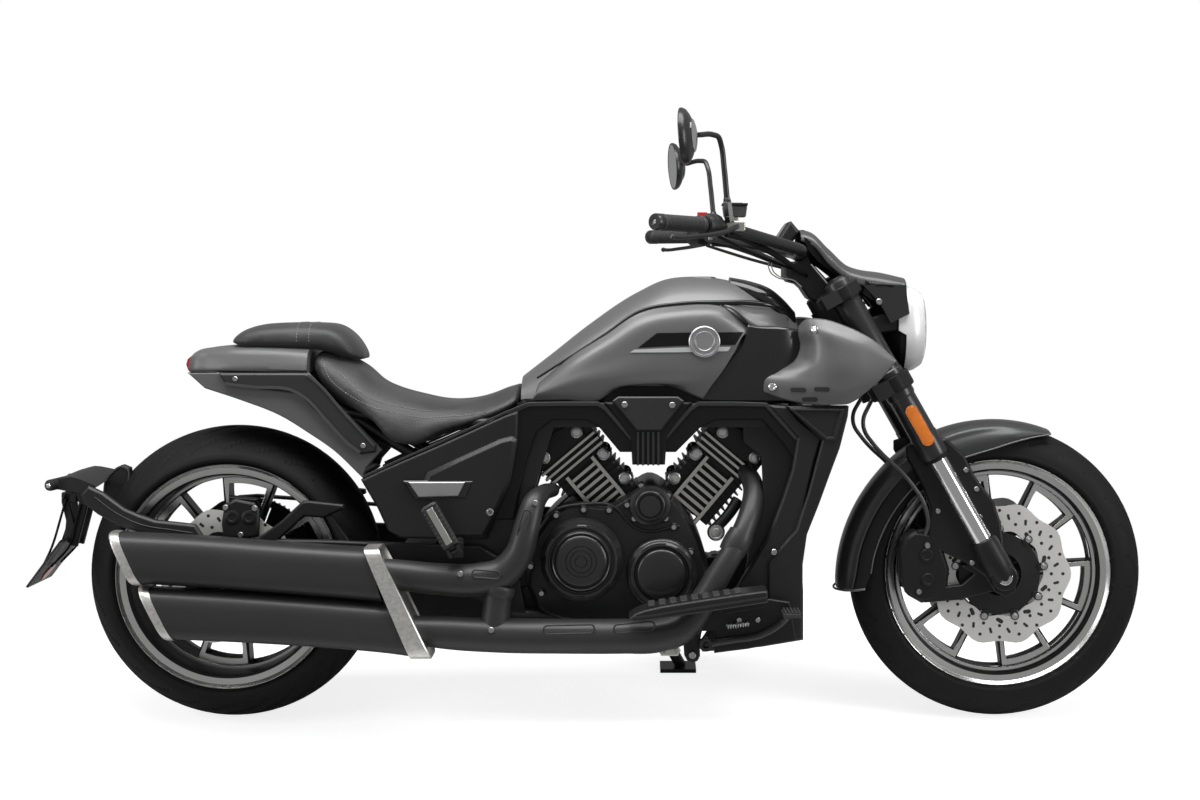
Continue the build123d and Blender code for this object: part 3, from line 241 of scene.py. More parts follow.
def joined(*forms):
    """Several forms as one."""
    corners, faces, start = [], [], 0
    for points, sides in forms:
        corners.append(points)
        faces += [[n + start for n in side] for side in sides]
        start += len(points)
    return np.concatenate(corners), faces


def turned(profile, steps=72):
    """A profile of (radius, along) points swept round the Y axis."""
    r, y = np.asarray(profile, float).T
    return rings(swept(r[:, None], y[:, None], circle(steps)), caps=False)


def moved(form, shift):
    return form[0] + np.asarray(shift, float), form[1]


def spun(form, degrees):
    """A form turned about the Y axis, its X side towards its Z side."""
    a = math.radians(degrees)
    x, y, z = form[0].T
    return np.stack([x * math.cos(a) - z * math.sin(a), y, x * math.sin(a) + z * math.cos(a)], -1), form[1]


def mirrored(form):
    """The form's twin on the other side of the machine."""
    return form[0] * (1, -1, 1), form[1]


def both(form):
    return joined(form, mirrored(form))


def piece(name, form, skin, stands_for=None, slot=None, body="chassis", sharp=35, wall=0.0, bevel=0.0):
    """An object from a form in upright millimetres, leaned over, on its body; wall and bevel add modifiers."""
    mesh = bpy.data.meshes.new(name)
    mesh.from_pydata(lean(form[0]).tolist(), [], form[1])
    work = bmesh.new()
    work.from_mesh(mesh)
    bmesh.ops.remove_doubles(work, verts=work.verts, dist=1e-6)
    bmesh.ops.recalc_face_normals(work, faces=work.faces)
    work.to_mesh(mesh)
    work.free()
    mesh.materials.append(skin)
    mesh.shade_smooth()
    mesh.set_sharp_from_angle(angle=math.radians(sharp))
    made = bpy.data.objects.new(name, mesh)
    scene.collection.objects.link(made)
    if wall:
        shell = made.modifiers.new("wall", "SOLIDIFY")
        shell.thickness = wall / 1000
        shell.offset = -1
    if bevel:
        edge = made.modifiers.new("edge", "BEVEL")
        edge.width = bevel / 1000
        edge.segments = 2
        edge.angle_limit = math.radians(30)
        edge.harden_normals = True
    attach(made, body)
    if stands_for:
        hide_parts(stands_for)


def twin(name, form, skin, *more, **named):
    """A piece together with its twin on the other side, as one object."""
    piece(name, both(form), skin, *more, **named)


def finish(
    name, colour, rough, metal=0.0, coat=0.0, spread=0.12, patch=9.0, grain=900.0, relief=0.08, edge=0.0, shine=0.5,
):
    """A material of one colour that drifts lighter and darker by spread, with a fine grain of relief."""
    made, base, spot = material(name)
    drift = base.node("ShaderNodeTexNoise", values={"Vector": spot, "Scale": patch, "Detail": 4.0})
    fine = base.node("ShaderNodeTexNoise", values={"Vector": spot, "Scale": grain, "Detail": 3.0})
    dark = tuple(c * (1 - spread) for c in colour) + (1,)
    pale = tuple(min(1.0, c * (1 + spread)) for c in colour) + (1,)
    shade = base.node("ShaderNodeMix", {"data_type": "RGBA"}, {0: drift, 6: dark, 7: pale}, out=2)
    roughness = rough * (0.85 + 0.3 * drift)
    values = {"Height": fine, "Strength": relief, "Distance": 0.0006}
    if edge:
        values["Normal"] = base.node("ShaderNodeBevel", {"samples": 4}, {"Radius": edge / 1000})
    bump = base.node("ShaderNodeBump", values=values)
    shine_of(base, {
        "Base Color": shade, "Roughness": roughness, "Metallic": metal, "Coat Weight": coat, "Coat Roughness": 0.06,
        "Specular IOR Level": shine, "Normal": bump,
    })
    return made


def grooved(profile, repeats, reach, lag, width, depth, steps):
    """A tyre from its (radius, y) profile, rain grooves cut where a point lies near a slanted line on the tread."""
    r, y = np.asarray(profile, float).T
    r, y, a = r[:, None], y[:, None], circle(steps)
    share = np.clip((np.abs(y) - reach[0]) / (reach[1] - reach[0]), 0, 1)
    turn = (a + 0.5 * (y > 0) * 2 * math.pi / repeats) * repeats / (2 * math.pi)
    off = (turn - lag * share ** 1.4 + 0.5) % 1.0 - 0.5
    gap = np.abs(off) * 2 * math.pi / repeats * r * 0.75
    inside = (np.abs(y) > reach[0]) & (np.abs(y) < reach[1])
    cut = depth * np.clip(1.6 - gap / width * 1.6, 0, 1) * inside
    return rings(swept(r - cut, y, a), caps=False)


def crown(radius, half, drop, rows):
    """The tread's (radius, y) points: an arc through the crown and both shoulders."""
    y = np.linspace(-half, half, rows)
    arc = (half ** 2 + drop ** 2) / (2 * drop)
    return [(radius - arc + math.sqrt(max(arc ** 2 - v ** 2, 0)), v) for v in y]


def mirrored_wall(wall, tread):
    """A tyre's whole profile: one side wall, the tread, and the other wall."""
    return [(r, -y) for r, y in wall] + tread + wall[::-1]


rubber = finish(
    "tyre_rubber", (0.006, 0.006, 0.0063), 0.66, spread=0.2, patch=14, grain=1400, relief=0.25, shine=0.25,
)
front_wall = [(236, 44), (245, 46.5), (247.5, 52), (250, 55), (250.5, 60.5), (253, 62), (255.5, 63), (257, 62.4)]
front_tread = crown(318, 62.2, 56, 45)
rear_wall = [(232, 104), (241, 106), (243, 111), (246, 114), (246.5, 118), (250, 119.4), (254, 119.8), (256, 118.6)]
rear_tread = crown(317, 118, 57, 61)
front_tyre = grooved(mirrored_wall(front_wall, front_tread), 26, (7, 56), 1.6, 4.6, 4.2, 1040)
rear_tyre = grooved(mirrored_wall(rear_wall, rear_tread), 24, (14, 104), 2.2, 5.2, 4.6, 960)
at_front = (FRONT_AXLE_X, 0, FRONT_AXLE_Z)
at_rear = (0, 0, REAR_AXLE_Z)
piece("tyre_front", moved(front_tyre, at_front), rubber, "front_tyre", "tyre", sharp=50, body="front_wheel")
piece("tyre_rear", moved(rear_tyre, at_rear), rubber, "rear_tyre", "tyre", sharp=50, body="rear_wheel")

# ---- Rims ----
# Cast alloy wheels: a black barrel with a machined, polished lip each side, and six pairs of thin black
# spokes. Each pair ends in a U-shaped bracket whose outer face is machined bright.


def bar_form(a, b, half_a, half_b):
    """A tapered bar in the wheel's plane from a to b, (x, z), each end given by its half width and half depth."""
    a, b = np.array(a, float), np.array(b, float)
    run = (b - a) / np.linalg.norm(b - a)
    side = np.array([-run[1], run[0]])
    ring = np.array([(-1, -1), (1, -1), (1, 1), (-1, 1)], float)
    rows = []
    for end, (w, d) in ((a, half_a), (b, half_b)):
        flat = end[None, :] + ring[:, :1] * w * side[None, :]
        rows.append(np.stack([flat[:, 0], ring[:, 1] * d, flat[:, 1]], -1))
    return rings(rows)


def arc_bar(r0, r1, a0, a1, y0, y1, steps=12):
    """A block in the wheel's plane between two radii and two angles, from y0 to y1."""
    a = np.radians(np.linspace(a0, a1, steps))[:, None]
    return rings(swept(np.array([r0, r1, r1, r0]), np.array([y0, y0, y1, y1]), a))


def polar(r, degrees):
    return r * math.cos(math.radians(degrees)), r * math.sin(math.radians(degrees))


def spokes(hub, bed, half, tilt):
    """The black spokes of one wheel: a pair at each 60 degrees, from the hub out to the barrel."""
    forms = []
    for n in range(6):
        for side in (-1, 1):
            root = polar(hub - 4, 60 * n + tilt + side * 20)
            tip = polar(bed - 8, 60 * n + tilt + side * 14.5)
            forms.append(bar_form(root, tip, (9, half * 0.75), (6.5, half)))
    return joined(*forms)


def brackets(bed, half, tilt):
    """The bright U faces: an outer arc and two legs on each spoke pair, proud of the spokes on both faces."""
    forms = []
    for n in range(6):
        mid = 60 * n + tilt
        for face in (-1, 1):
            y0, y1 = sorted((face * (half - 1), face * (half + 2.5)))
            forms.append(arc_bar(bed - 34, bed - 19, mid - 15.5, mid + 15.5, y0, y1))
            for side in (-1, 1):
                a = np.array(polar(bed - 24, mid + side * 14))
                b = np.array(polar(bed - 92, mid + side * 15.2))
                leg = bar_form(a, b, (6, 1.8), (2.5, 1.8))
                forms.append(moved(leg, (0, (y0 + y1) / 2, 0)))
    return joined(*forms)


def wheel(tag, body, place, lip, bed, half, hub, hub_half, depth, tilt, node):
    """One wheel: bright lips, black barrel, hub and spokes, and the bright brackets."""
    lip_profile = [
        (lip - 14, half - 11), (lip - 5, half - 4), (lip - 1.5, half - 0.5), (lip, half - 0.2), (lip, half - 5),
        (bed + 2, half - 7), (bed - 6, half - 9),
    ]
    barrel = [
        (lip - 14.5, half - 11.5), (lip - 17, half - 13), (lip - 18, half - 20), (bed - 10, half - 22),
        (bed - 13, half - 40), (bed - 13, 0), (bed - 13, 40 - half), (bed - 10, 22 - half), (lip - 18, 20 - half),
        (lip - 17, 13 - half), (lip - 14.5, 11.5 - half), (bed - 4, 9 - half), (bed - 4, half - 9),
        (lip - 14.5, half - 11.5),
    ]
    inner_ring = [(bed - 12, depth + 7), (bed - 12, depth + 10), (bed - 19, depth + 10), (bed - 21, depth + 6)]
    bright = joined(both(turned(lip_profile, 144)), both(turned(inner_ring, 144)), brackets(bed, depth, tilt))
    hub_profile = [
        (12, hub_half), (hub - 7, hub_half), (hub - 5, hub_half - 3), (hub, hub_half - 12), (hub, depth),
        (hub + 16, depth - 6), (hub + 16, 6 - depth), (hub, -depth), (hub, 12 - hub_half), (hub - 5, 3 - hub_half),
        (hub - 7, -hub_half), (12, -hub_half),
    ]
    black = joined(turned(barrel, 144), turned(hub_profile, 72), spokes(hub + 10, bed, depth, tilt))
    piece(tag + "_casting", moved(black, place), wheel_black, node, "polished_alloy", bevel=1.2, body=body)
    piece(tag + "_bright_faces", moved(bright, place), wheel_bright, slot="polished_alloy", bevel=0.8, body=body)


wheel_black = finish("wheel_black", (0.006, 0.006, 0.0063), 0.38, coat=0.06, grain=500, relief=0.1, shine=0.35)
wheel_bright = finish("wheel_machined", (0.74, 0.74, 0.73), 0.26, metal=1.0, spread=0.05, grain=300, relief=0.03)
wheel("rim_front", "front_wheel", at_front, 245.0, 230.5, 52.0, 34.0, 56.0, 17.0, 50.0, "front_rim")
wheel("rim_rear", "rear_wheel", at_rear, 240.0, 225.5, 112.0, 48.0, 100.0, 24.0, 82.0, "rear_rim")
valve = turned([(0, 0), (2.5, 0), (2.5, 26), (4, 27), (4, 36), (0, 36)], 12)
piece("valve_front", moved(valve, (FRONT_AXLE_X + 212, 0, FRONT_AXLE_Z)), wheel_bright, body="front_wheel")

# ---- Brake discs ----
# Two wave discs at the front and one behind, ground stainless steel with rows of drilled holes and slots,
# riding on bobbins set round a black carrier.


def disc(radius, inner, y0, y1, waves, wave, holes):
    """A disc with a wavy rim and bore, and the dark faces of its holes and slots, a little proud of it each side."""
    a = circle(waves * 8)
    rim = radius - wave + wave * np.cos(a * waves)
    bore = inner + wave * 0.6 * np.cos(a * waves)
    rows = [swept(r, y, a) for y, r in ((y0, bore), (y0, rim), (y1, rim), (y1, bore), (y0, bore))]
    dots = []
    for ring, (r, count, size, long, skew) in enumerate(holes):
        for n in range(count):
            turn = 360 * (n + 0.5 * (ring % 2)) / count
            spot = capsule(size, long, y0 - 0.3, y1 + 0.3)
            dots.append(spun(moved(spun(spot, skew), (r, 0, 0)), turn))
    return rings(rows, caps=False), joined(*dots)


def layered(rows):
    """A moulding through outlines of equal count, each (its (x, z) points, y), the first and last capped."""
    return rings([np.insert(np.array(flat, float), 1, y, axis=1) for flat, y in rows])


def slab(outline, y0, y1):
    """A plate cut to a side outline of (x, z) points, from y0 to y1."""
    return layered([(outline, y0), (outline, y1)])


def at_each(form, places, y=0):
    """Copies of a form, one at each (x, z) place at depth y."""
    return joined(*[moved(form, (x, y, z)) for x, z in places])


def capsule(radius, long, y0, y1):
    """A short bar along Y whose outline is two half rounds, long being the straight between them, along X."""
    a = circle(12)
    x = radius * np.cos(a) + np.sign(np.cos(a) + 1e-9) * long / 2
    return slab(np.column_stack([x, radius * np.sin(a)]), y0, y1)


def bolts(places, radius, high, y):
    """Cap screws standing out to the right from a face at y, each with a round socket sunk in its head."""
    head = [(1, 0), (1, 0.75), (0.86, 1), (0.55, 1), (0.5, 0.4), (0, 0.4)]
    return at_each(turned(np.array(head) * (radius, -high), 18), places, y)


def bolted(name, places, radius, high, y, body="chassis"):
    """A piece of bright steel cap screws, alike on both sides."""
    twin(name, bolts(places, radius, high, y), steel_bolt, body=body)


disc_skin = finish("disc_ground_steel", (0.82, 0.81, 0.79), 0.42, metal=0.6, spread=0.06, grain=1500, relief=0.15)
hole_skin = finish("disc_hole", (0.02, 0.02, 0.02), 0.6)
carrier_skin = finish("disc_carrier", (0.010, 0.010, 0.0105), 0.4, coat=0.1, shine=0.4)
bobbin_skin = finish("bobbin_steel", (0.62, 0.62, 0.63), 0.3, metal=1.0)
front_holes = [(112, 20, 3.6, 0, 0), (124, 20, 3.0, 7, 24), (137, 20, 3.6, 0, 0), (101, 10, 4.5, 8, 60)]
plate, holes = disc(155, 92, -70.3, -65.7, 10, 5.0, front_holes)
piece(
    "disc_front_plates", moved(both(plate), at_front), disc_skin, "front_discs", "disc_steel", sharp=30,
    body="front_wheel",
)
piece("disc_front_holes", moved(both(holes), at_front), hole_skin, body="front_wheel")
carrier = turned([(46, -74), (58, -72), (88, -69.5), (88, -66), (58, -65), (46, -64), (46, -74)], 90)
carrier_arms = joined(*[spun(moved(capsule(9, 6, -72.5, -65), (94, 0, 0)), 40 * n + 10) for n in range(9)])
piece(
    "disc_front_carriers", moved(both(joined(carrier, carrier_arms)), at_front), carrier_skin, bevel=0.8,
    body="front_wheel",
)
bobbin = turned([(0, -74), (3, -74), (3.6, -73.2), (6.4, -73.2), (7, -72.4), (7, -65)], 20)
bobbins = joined(*[spun(moved(bobbin, (97, 0, 0)), 40 * n + 10) for n in range(9)])
piece("disc_front_bobbins", moved(both(bobbins), at_front), bobbin_skin, body="front_wheel")
plate, holes = disc(
    148, 96, -105.5, -100.5, 10, 4.5, [(110, 20, 3.6, 0, 0), (123, 20, 3.0, 6, 24), (136, 20, 3.6, 0, 0)],
)
piece("disc_rear_plate", moved(plate, at_rear), disc_skin, "rear_disc", "disc_steel", sharp=30, body="rear_wheel")
piece("disc_rear_holes", moved(holes, at_rear), hole_skin, body="rear_wheel")
rear_carrier = turned([(50, -106), (60, -104.5), (97, -104), (97, -101.5), (60, -101), (50, -100.6), (50, -106)], 90)
piece("disc_rear_carrier", moved(rear_carrier, at_rear), carrier_skin, body="rear_wheel")

# ---- Fuel tank ----
# A steel tank in satin grey: a broad top pressing that the seat runs up to, a lipped panel along each side
# and a dark front part that the scoops hang on. A black stripe and a blank round boss decorate the panels.


def through(points, count):
    """A smooth line through the points, each stretch a cubic whose slope at a point follows its neighbours."""
    p = np.asarray(points, float)
    gaps = np.maximum(np.linalg.norm(np.diff(p, axis=0), axis=1), 1e-6)
    at = np.concatenate([[0], np.cumsum(gaps)])
    slope = np.gradient(p, at, axis=0)
    t = np.linspace(0, at[-1], count)
    k = np.clip(np.searchsorted(at, t, side="right") - 1, 0, len(p) - 2)
    h = (at[k + 1] - at[k])[:, None]
    s = ((t - at[k]) / (at[k + 1] - at[k]))[:, None]
    start = (2 * s ** 3 - 3 * s ** 2 + 1) * p[k] + (s ** 3 - 2 * s ** 2 + s) * h * slope[k]
    return start + (3 * s ** 2 - 2 * s ** 3) * p[k + 1] + (s ** 3 - s ** 2) * h * slope[k + 1]


def lengthwise(grid, along):
    """A grid of points redrawn with smooth lines down its columns, each of along points."""
    return np.stack([through(column, along) for column in grid.swapaxes(0, 1)], 1)


def skin_grid(rows, across, down):
    """A smooth sheet through rows of 3-D points, as a grid of down by across points."""
    return lengthwise(np.stack([through(row, across) for row in rows]), down)


def hull(stations, along, around):
    """A closed body, alike on both sides, through cross sections: x, then y, z, y, z... from the top to the keel."""
    sections = []
    for x, *half in stations:
        line = through(np.reshape(half, (-1, 2)), around)
        ring = np.concatenate([line, line[-2:0:-1] * (-1, 1)])
        sections.append(np.insert(ring, 0, x, axis=1))
    return rings(lengthwise(np.stack(sections), along))


def draped(form, sheet, lift):
    """The form laid on a sheet of points: each corner's y is the sheet's there, plus its own, lifted outward."""
    points, faces = form
    flat = sheet.reshape(-1, 3)
    apart = ((points[:, None, [0, 2]] - flat[None, :, [0, 2]]) ** 2).sum(-1)
    near = np.argsort(apart, 1)[:, :4]
    weight = 1 / (np.take_along_axis(apart, near, 1) + 1.0)
    y = (flat[near, 1] * weight).sum(1) / weight.sum(1)
    return np.column_stack([points[:, 0], y + points[:, 1] - lift, points[:, 2]]), faces


def ribbon(upper, lower, thick, across, rows=4):
    """A strip between two side lines of (x, z) points, thick mm through, as a closed form with y about zero."""
    high, low = through(upper, across), through(lower, across)
    share = np.linspace(0, 1, rows)[:, None, None]
    face = high[None] * (1 - share) + low[None] * share
    front = np.stack([face[..., 0], 0 * face[..., 0] - thick / 2, face[..., 1]], -1)
    back = front + (0, thick, 0)
    ring = np.concatenate([front, back[::-1]])
    return grid_form(ring, wrap_rows=True, caps=False)


def tube(points, radii, along, around=28):
    """A tube along a smooth line through the points, its radius varying smoothly from point to point."""
    full = through(np.column_stack([np.asarray(points, float), radii]), along)
    line, r = full[:, :3], full[:, 3]
    run = np.gradient(line, axis=0)
    run /= np.linalg.norm(run, axis=1, keepdims=True)
    side = np.cross(run[0], (0, 0, 1.0) if abs(run[0][2]) < 0.9 else (1.0, 0, 0))
    a = circle(around)[:, None]
    loops = []
    for point, forward, radius in zip(line, run, r):
        side = side - forward * side.dot(forward)
        side /= np.linalg.norm(side)
        up = np.cross(forward, side)
        loops.append(point + radius * (np.cos(a) * side + np.sin(a) * up))
    return rings(loops)


satin = finish(
    "satin_grey_paint", (0.155, 0.155, 0.155), 0.42, metal=0.4, coat=0.18, spread=0.05, patch=5, grain=2600,
    relief=0.05, edge=1.0,
)
gloss_black = finish("gloss_black", (0.009, 0.009, 0.010), 0.2, coat=0.45, spread=0.1, relief=0.03)
deep_black = finish("stripe_black", (0.004, 0.004, 0.0045), 0.45, shine=0.2)
silver_line = finish("silver_line", (0.75, 0.75, 0.76), 0.3, metal=0.6)
badge_skin = finish("badge_satin_alloy", (0.55, 0.55, 0.56), 0.32, metal=1.0, spread=0.08, grain=1200, relief=0.3)
tank_stations = [
    (628, 0, 744, 40, 742, 80, 731, 106, 710, 112, 700, 60, 699, 0, 699),
    (690, 0, 792, 46, 789, 92, 771, 130, 720, 138, 702, 60, 699, 0, 699),
    (770, 0, 855, 48, 851, 96, 828, 138, 750, 146, 702, 60, 699, 0, 699),
    (880, 0, 928, 48, 923, 100, 892, 144, 796, 148, 702, 60, 699, 0, 699),
    (940, 0, 955, 48, 950, 104, 912, 144, 812, 147, 702, 60, 699, 0, 699),
    (1000, 0, 961, 48, 955, 104, 914, 141, 812, 146, 704, 60, 700, 0, 700),
    (1080, 0, 952, 46, 946, 98, 900, 136, 812, 142, 706, 60, 702, 0, 702),
    (1150, 0, 922, 44, 916, 92, 872, 128, 800, 138, 712, 60, 706, 0, 706),
    (1225, 0, 866, 38, 862, 76, 836, 104, 800, 116, 776, 50, 772, 0, 772),
]
tank = hull(tank_stations, 70, 30)
piece("tank_shell", tank, satin, "fuel_tank", "satin_paint", sharp=45)
panel_rows = [
    [
        (669, -116, 735), (734, -130, 788), (808, -136, 835), (883, -136, 884), (968, -132, 899), (1057, -130, 897),
        (1118, -144, 846),
    ],
    [
        (665, -128, 727), (741, -148, 776), (821, -156, 821), (893, -157, 865), (971, -154, 880), (1045, -153, 878),
        (1102, -158, 836),
    ],
    [
        (662, -138, 716), (751, -160, 756), (830, -167, 783), (903, -169, 813), (971, -168, 823), (1034, -167, 821),
        (1083, -165, 802),
    ],
    [
        (660, -140, 710), (756, -165, 741), (836, -173, 748), (908, -175, 752), (967, -174, 754), (1019, -172, 754),
        (1057, -169, 760),
    ],
    [
        (657, -138, 704), (752, -161, 720), (836, -169, 728), (908, -172, 733), (962, -171, 731), (1005, -168, 726),
        (1032, -166, 726),
    ],
    [
        (653, -132, 697), (724, -150, 698), (798, -158, 698), (825, -160, 718), (967, -162, 720), (988, -162, 711),
        (1015, -161, 699),
    ],
]
panel_grid = skin_grid(panel_rows, 90, 44)
twin("tank_side_panels", grid_form(panel_grid), satin, "tank_panels", "satin_paint", sharp=60, wall=9.0)
stripe = ribbon([(918, 840), (988, 841), (1102, 842)], [(878, 809), (988, 814), (1083, 815)], 1.2, 40)
twin("tank_stripes", draped(stripe, panel_grid, 0.5), deep_black, sharp=40)
line = ribbon([(870, 805), (988, 810), (1074, 811)], [(861, 799), (988, 800), (1068, 802)], 1.4, 40)
twin("tank_silver_lines", draped(line, panel_grid, 1.2), silver_line, sharp=40)
boss = turned(
    [
        (33, 4), (33, -3), (31, -4.5), (28.5, -4.5), (27.5, -3.2), (22, -3.2), (21, -4.6), (19, -4.6), (18, -3.4),
        (0, -4.2),
    ],
    60,
)
twin("tank_round_bosses", moved(boss, (1018, -173, 822)), badge_skin, sharp=25)
front_rows = [
    [(1057, -126, 901), (1106, -124, 897), (1156, -112, 889), (1202, -80, 875)],
    [(1074, -138, 897), (1120, -138, 884), (1160, -124, 876), (1202, -82, 862)],
    [(1098, -150, 878), (1128, -150, 861), (1167, -134, 857), (1206, -88, 847)],
    [(1115, -153, 857), (1136, -153, 853), (1171, -142, 850), (1211, -96, 839)],
]
seam_line = [
    (663, -120, 743), (736, -128, 790), (810, -133, 838), (885, -134, 887), (968, -130, 902), (1057, -127, 904),
    (1107, -122, 904), (1157, -108, 899), (1198, -76, 886),
]
twin("tank_seams", tube(seam_line, [2.5, 3, 3.5, 4, 4, 5.5, 6, 5, 3.5], 90, 12), gloss_black, sharp=60)
# A deep black strip under each side panel's lower arch, above the middle cover: painted shadow where the panel's edge
# shades the tank below it.
painted_shadow_strip = slab([(798, 690), (823, 715), (844, 728), (975, 728), (997, 715), (1022, 690)], -159, -150)
twin("tank_lower_gaps", painted_shadow_strip, deep_black)
twin("tank_front_shoulders", grid_form(skin_grid(front_rows, 30, 16)), satin, sharp=60, wall=6.0)
dark_rows = [
    [(1111, -152, 859), (1136, -154, 855), (1179, -150, 853), (1232, -130, 846)],
    [(1102, -156, 825), (1132, -159, 821), (1178, -156, 812), (1236, -134, 808)],
    [(1068, -158, 779), (1110, -162, 770), (1161, -158, 766), (1223, -136, 752)],
    [(1035, -158, 736), (1085, -162, 728), (1144, -158, 724), (1222, -138, 714)],
    [(1005, -157, 694), (1064, -160, 692), (1130, -157, 692), (1222, -138, 689)],
]
twin("tank_front_sides", grid_form(skin_grid(dark_rows, 30, 24)), gloss_black, sharp=60, wall=6.0)
console_rows = [
    (1080, 0, 960, 24, 958, 38, 953, 44, 944, 30, 920, 0, 918),
    (1120, 0, 952, 34, 950, 54, 942, 62, 928, 40, 890, 0, 888),
    (1168, 0, 934, 38, 932, 58, 920, 66, 902, 46, 870, 0, 868),
    (1196, 0, 912, 36, 909, 54, 894, 60, 874, 42, 852, 0, 850),
    (1222, 0, 884, 28, 881, 44, 868, 50, 852, 34, 838, 0, 836),
]
piece("tank_console", hull(console_rows, 30, 20), gloss_black, sharp=40)
cap = turned([(0, 2), (24, 2), (30, 0.5), (31, -3), (31, -9)], 48)
cap_points = np.column_stack([cap[0][:, 0], cap[0][:, 2], cap[0][:, 1]])
piece("tank_filler_cap", (cap_points + (1020, 0, 959), cap[1]), badge_skin, sharp=30)

# ---- Air scoops ----
# A wing of satin grey plastic each side of the tank's nose, creased where its mouth turns in, held by two
# screws, with three slots low on its rear half.
scoop_rows = [
    [
        (1219, -132, 854), (1234, -150, 869), (1266, -166, 870), (1316, -176, 855), (1369, -182, 828),
        (1422, -184, 782),
    ],
    [
        (1218, -138, 837), (1242, -172, 847), (1276, -192, 841), (1321, -198, 824), (1368, -194, 805),
        (1419, -186, 780),
    ],
    [
        (1222, -142, 814), (1256, -186, 811), (1292, -203, 803), (1329, -204, 793), (1367, -197, 786),
        (1415, -187, 775),
    ],
    [
        (1211, -146, 783), (1259, -194, 780), (1295, -208, 772), (1329, -206, 768), (1361, -199, 765),
        (1406, -188, 765),
    ],
    [
        (1170, -150, 759), (1230, -186, 752), (1283, -206, 741), (1320, -205, 739), (1350, -199, 740),
        (1390, -189, 746),
    ],
    [
        (1140, -156, 743), (1210, -184, 727), (1271, -202, 713), (1308, -202, 713), (1334, -198, 719),
        (1364, -190, 723),
    ],
    [
        (1144, -158, 715), (1198, -176, 697), (1251, -190, 690), (1293, -194, 690), (1318, -194, 692),
        (1339, -190, 702),
    ],
]
scoop_grid = skin_grid(scoop_rows, 60, 54)
twin("scoop_wings", grid_form(scoop_grid), satin, "tank_scoops", "satin_paint", sharp=60, wall=7.0)
slots = at_each(capsule(5, 22, -1, 1), ((1214, 721), (1262, 723), (1238, 701)))
twin("scoop_slots", draped(slots, scoop_grid, 0.6), hole_skin)
scoop_screws = bolts([(1247, 849), (1161, 726)], 8.5, 5, 0)
chrome = finish("chrome", (0.86, 0.86, 0.87), 0.09, metal=1.0, spread=0.03, grain=300, relief=0.02)
twin("scoop_screws", draped(scoop_screws, scoop_grid, 1.0), chrome)

# ---- Rider's seat ----
# A deep bucket seat of black vinyl over moulded foam, with two rows of grey stitching that run round the
# bucket and up its backrest.
CUSHION_SWELL = 5.0
CUSHION_CELL = 5.0
CUSHION_STEPS = 20
CUSHION_RELAX = 26


def puffed(name, form):
    """A cushion from a closed form: remeshed in small cells and swelled by cloth pressure, up to a limit."""
    mesh = bpy.data.meshes.new(name)
    mesh.from_pydata(lean(form[0]).tolist(), [], form[1])
    made = bpy.data.objects.new(name, mesh)
    scene.collection.objects.link(made)
    rebuild = made.modifiers.new("rebuild", "REMESH")
    rebuild.mode = "VOXEL"
    rebuild.voxel_size = CUSHION_CELL / 1000
    mesh = bpy.data.meshes.new_from_object(made.evaluated_get(bpy.context.evaluated_depsgraph_get()))
    made.modifiers.clear()
    made.data = mesh
    start = np.empty(len(mesh.vertices) * 3)
    mesh.vertices.foreach_get("co", start)
    start = start.reshape(-1, 3)
    cloth = made.modifiers.new("cloth", "CLOTH")
    cloth.settings.use_pressure = True
    cloth.settings.uniform_pressure_force = 4.0
    cloth.settings.effector_weights.gravity = 0.0
    cloth.point_cache.frame_start, cloth.point_cache.frame_end = 1, CUSHION_STEPS
    for step in range(1, CUSHION_STEPS + 1):
        scene.frame_set(step)
    swelled = bpy.data.meshes.new_from_object(made.evaluated_get(bpy.context.evaluated_depsgraph_get()))
    end = np.empty(len(swelled.vertices) * 3)
    swelled.vertices.foreach_get("co", end)
    push = end.reshape(-1, 3) - start
    far = np.linalg.norm(push, axis=1, keepdims=True)
    start = start + push * np.minimum(1, CUSHION_SWELL / 1000 / np.maximum(far, 1e-9))
    made.modifiers.clear()
    scene.frame_set(1)
    mesh.vertices.foreach_set("co", start.ravel())
    return made


def upholstered(made, node):
    """The last steps of a cushion: its vinyl cover, smooth shading, one subdivision and its place on the bike."""
    made.data.materials.clear()
    made.data.materials.append(seat_vinyl)
    made.data.shade_smooth()
    relax = made.modifiers.new("relax", "SMOOTH")
    relax.factor = 0.6
    relax.iterations = CUSHION_RELAX
    finer = made.modifiers.new("finer", "SUBSURF")
    finer.levels = finer.render_levels = 1
    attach(made, "chassis")
    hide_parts(node)


def vinyl():
    """Black seat vinyl: pebbled grain from cells at two sizes, with patches of wear spread at random."""
    made, base, spot = material("seat_vinyl")
    pebble = base.node("ShaderNodeTexVoronoi", {"feature": "SMOOTH_F1"}, {"Vector": spot, "Scale": 620.0})
    coarse = base.node("ShaderNodeTexVoronoi", {"feature": "SMOOTH_F1"}, {"Vector": spot, "Scale": 260.0})
    wear = base.node("ShaderNodeTexNoise", values={"Vector": spot, "Scale": 7.0, "Detail": 5.0})
    shade = base.node(
        "ShaderNodeValToRGB", {"stops": [(0.3, (0.026, 0.026, 0.027)), (0.75, (0.05, 0.05, 0.052))]}, {0: wear},
    )
    bump = base.node("ShaderNodeBump", values={"Height": pebble + coarse * 0.6, "Strength": 0.35, "Distance": 0.0008})
    shine_of(base, {"Base Color": shade, "Roughness": wear * 0.16 + 0.4, "Sheen Weight": 0.1, "Normal": bump})
    return made


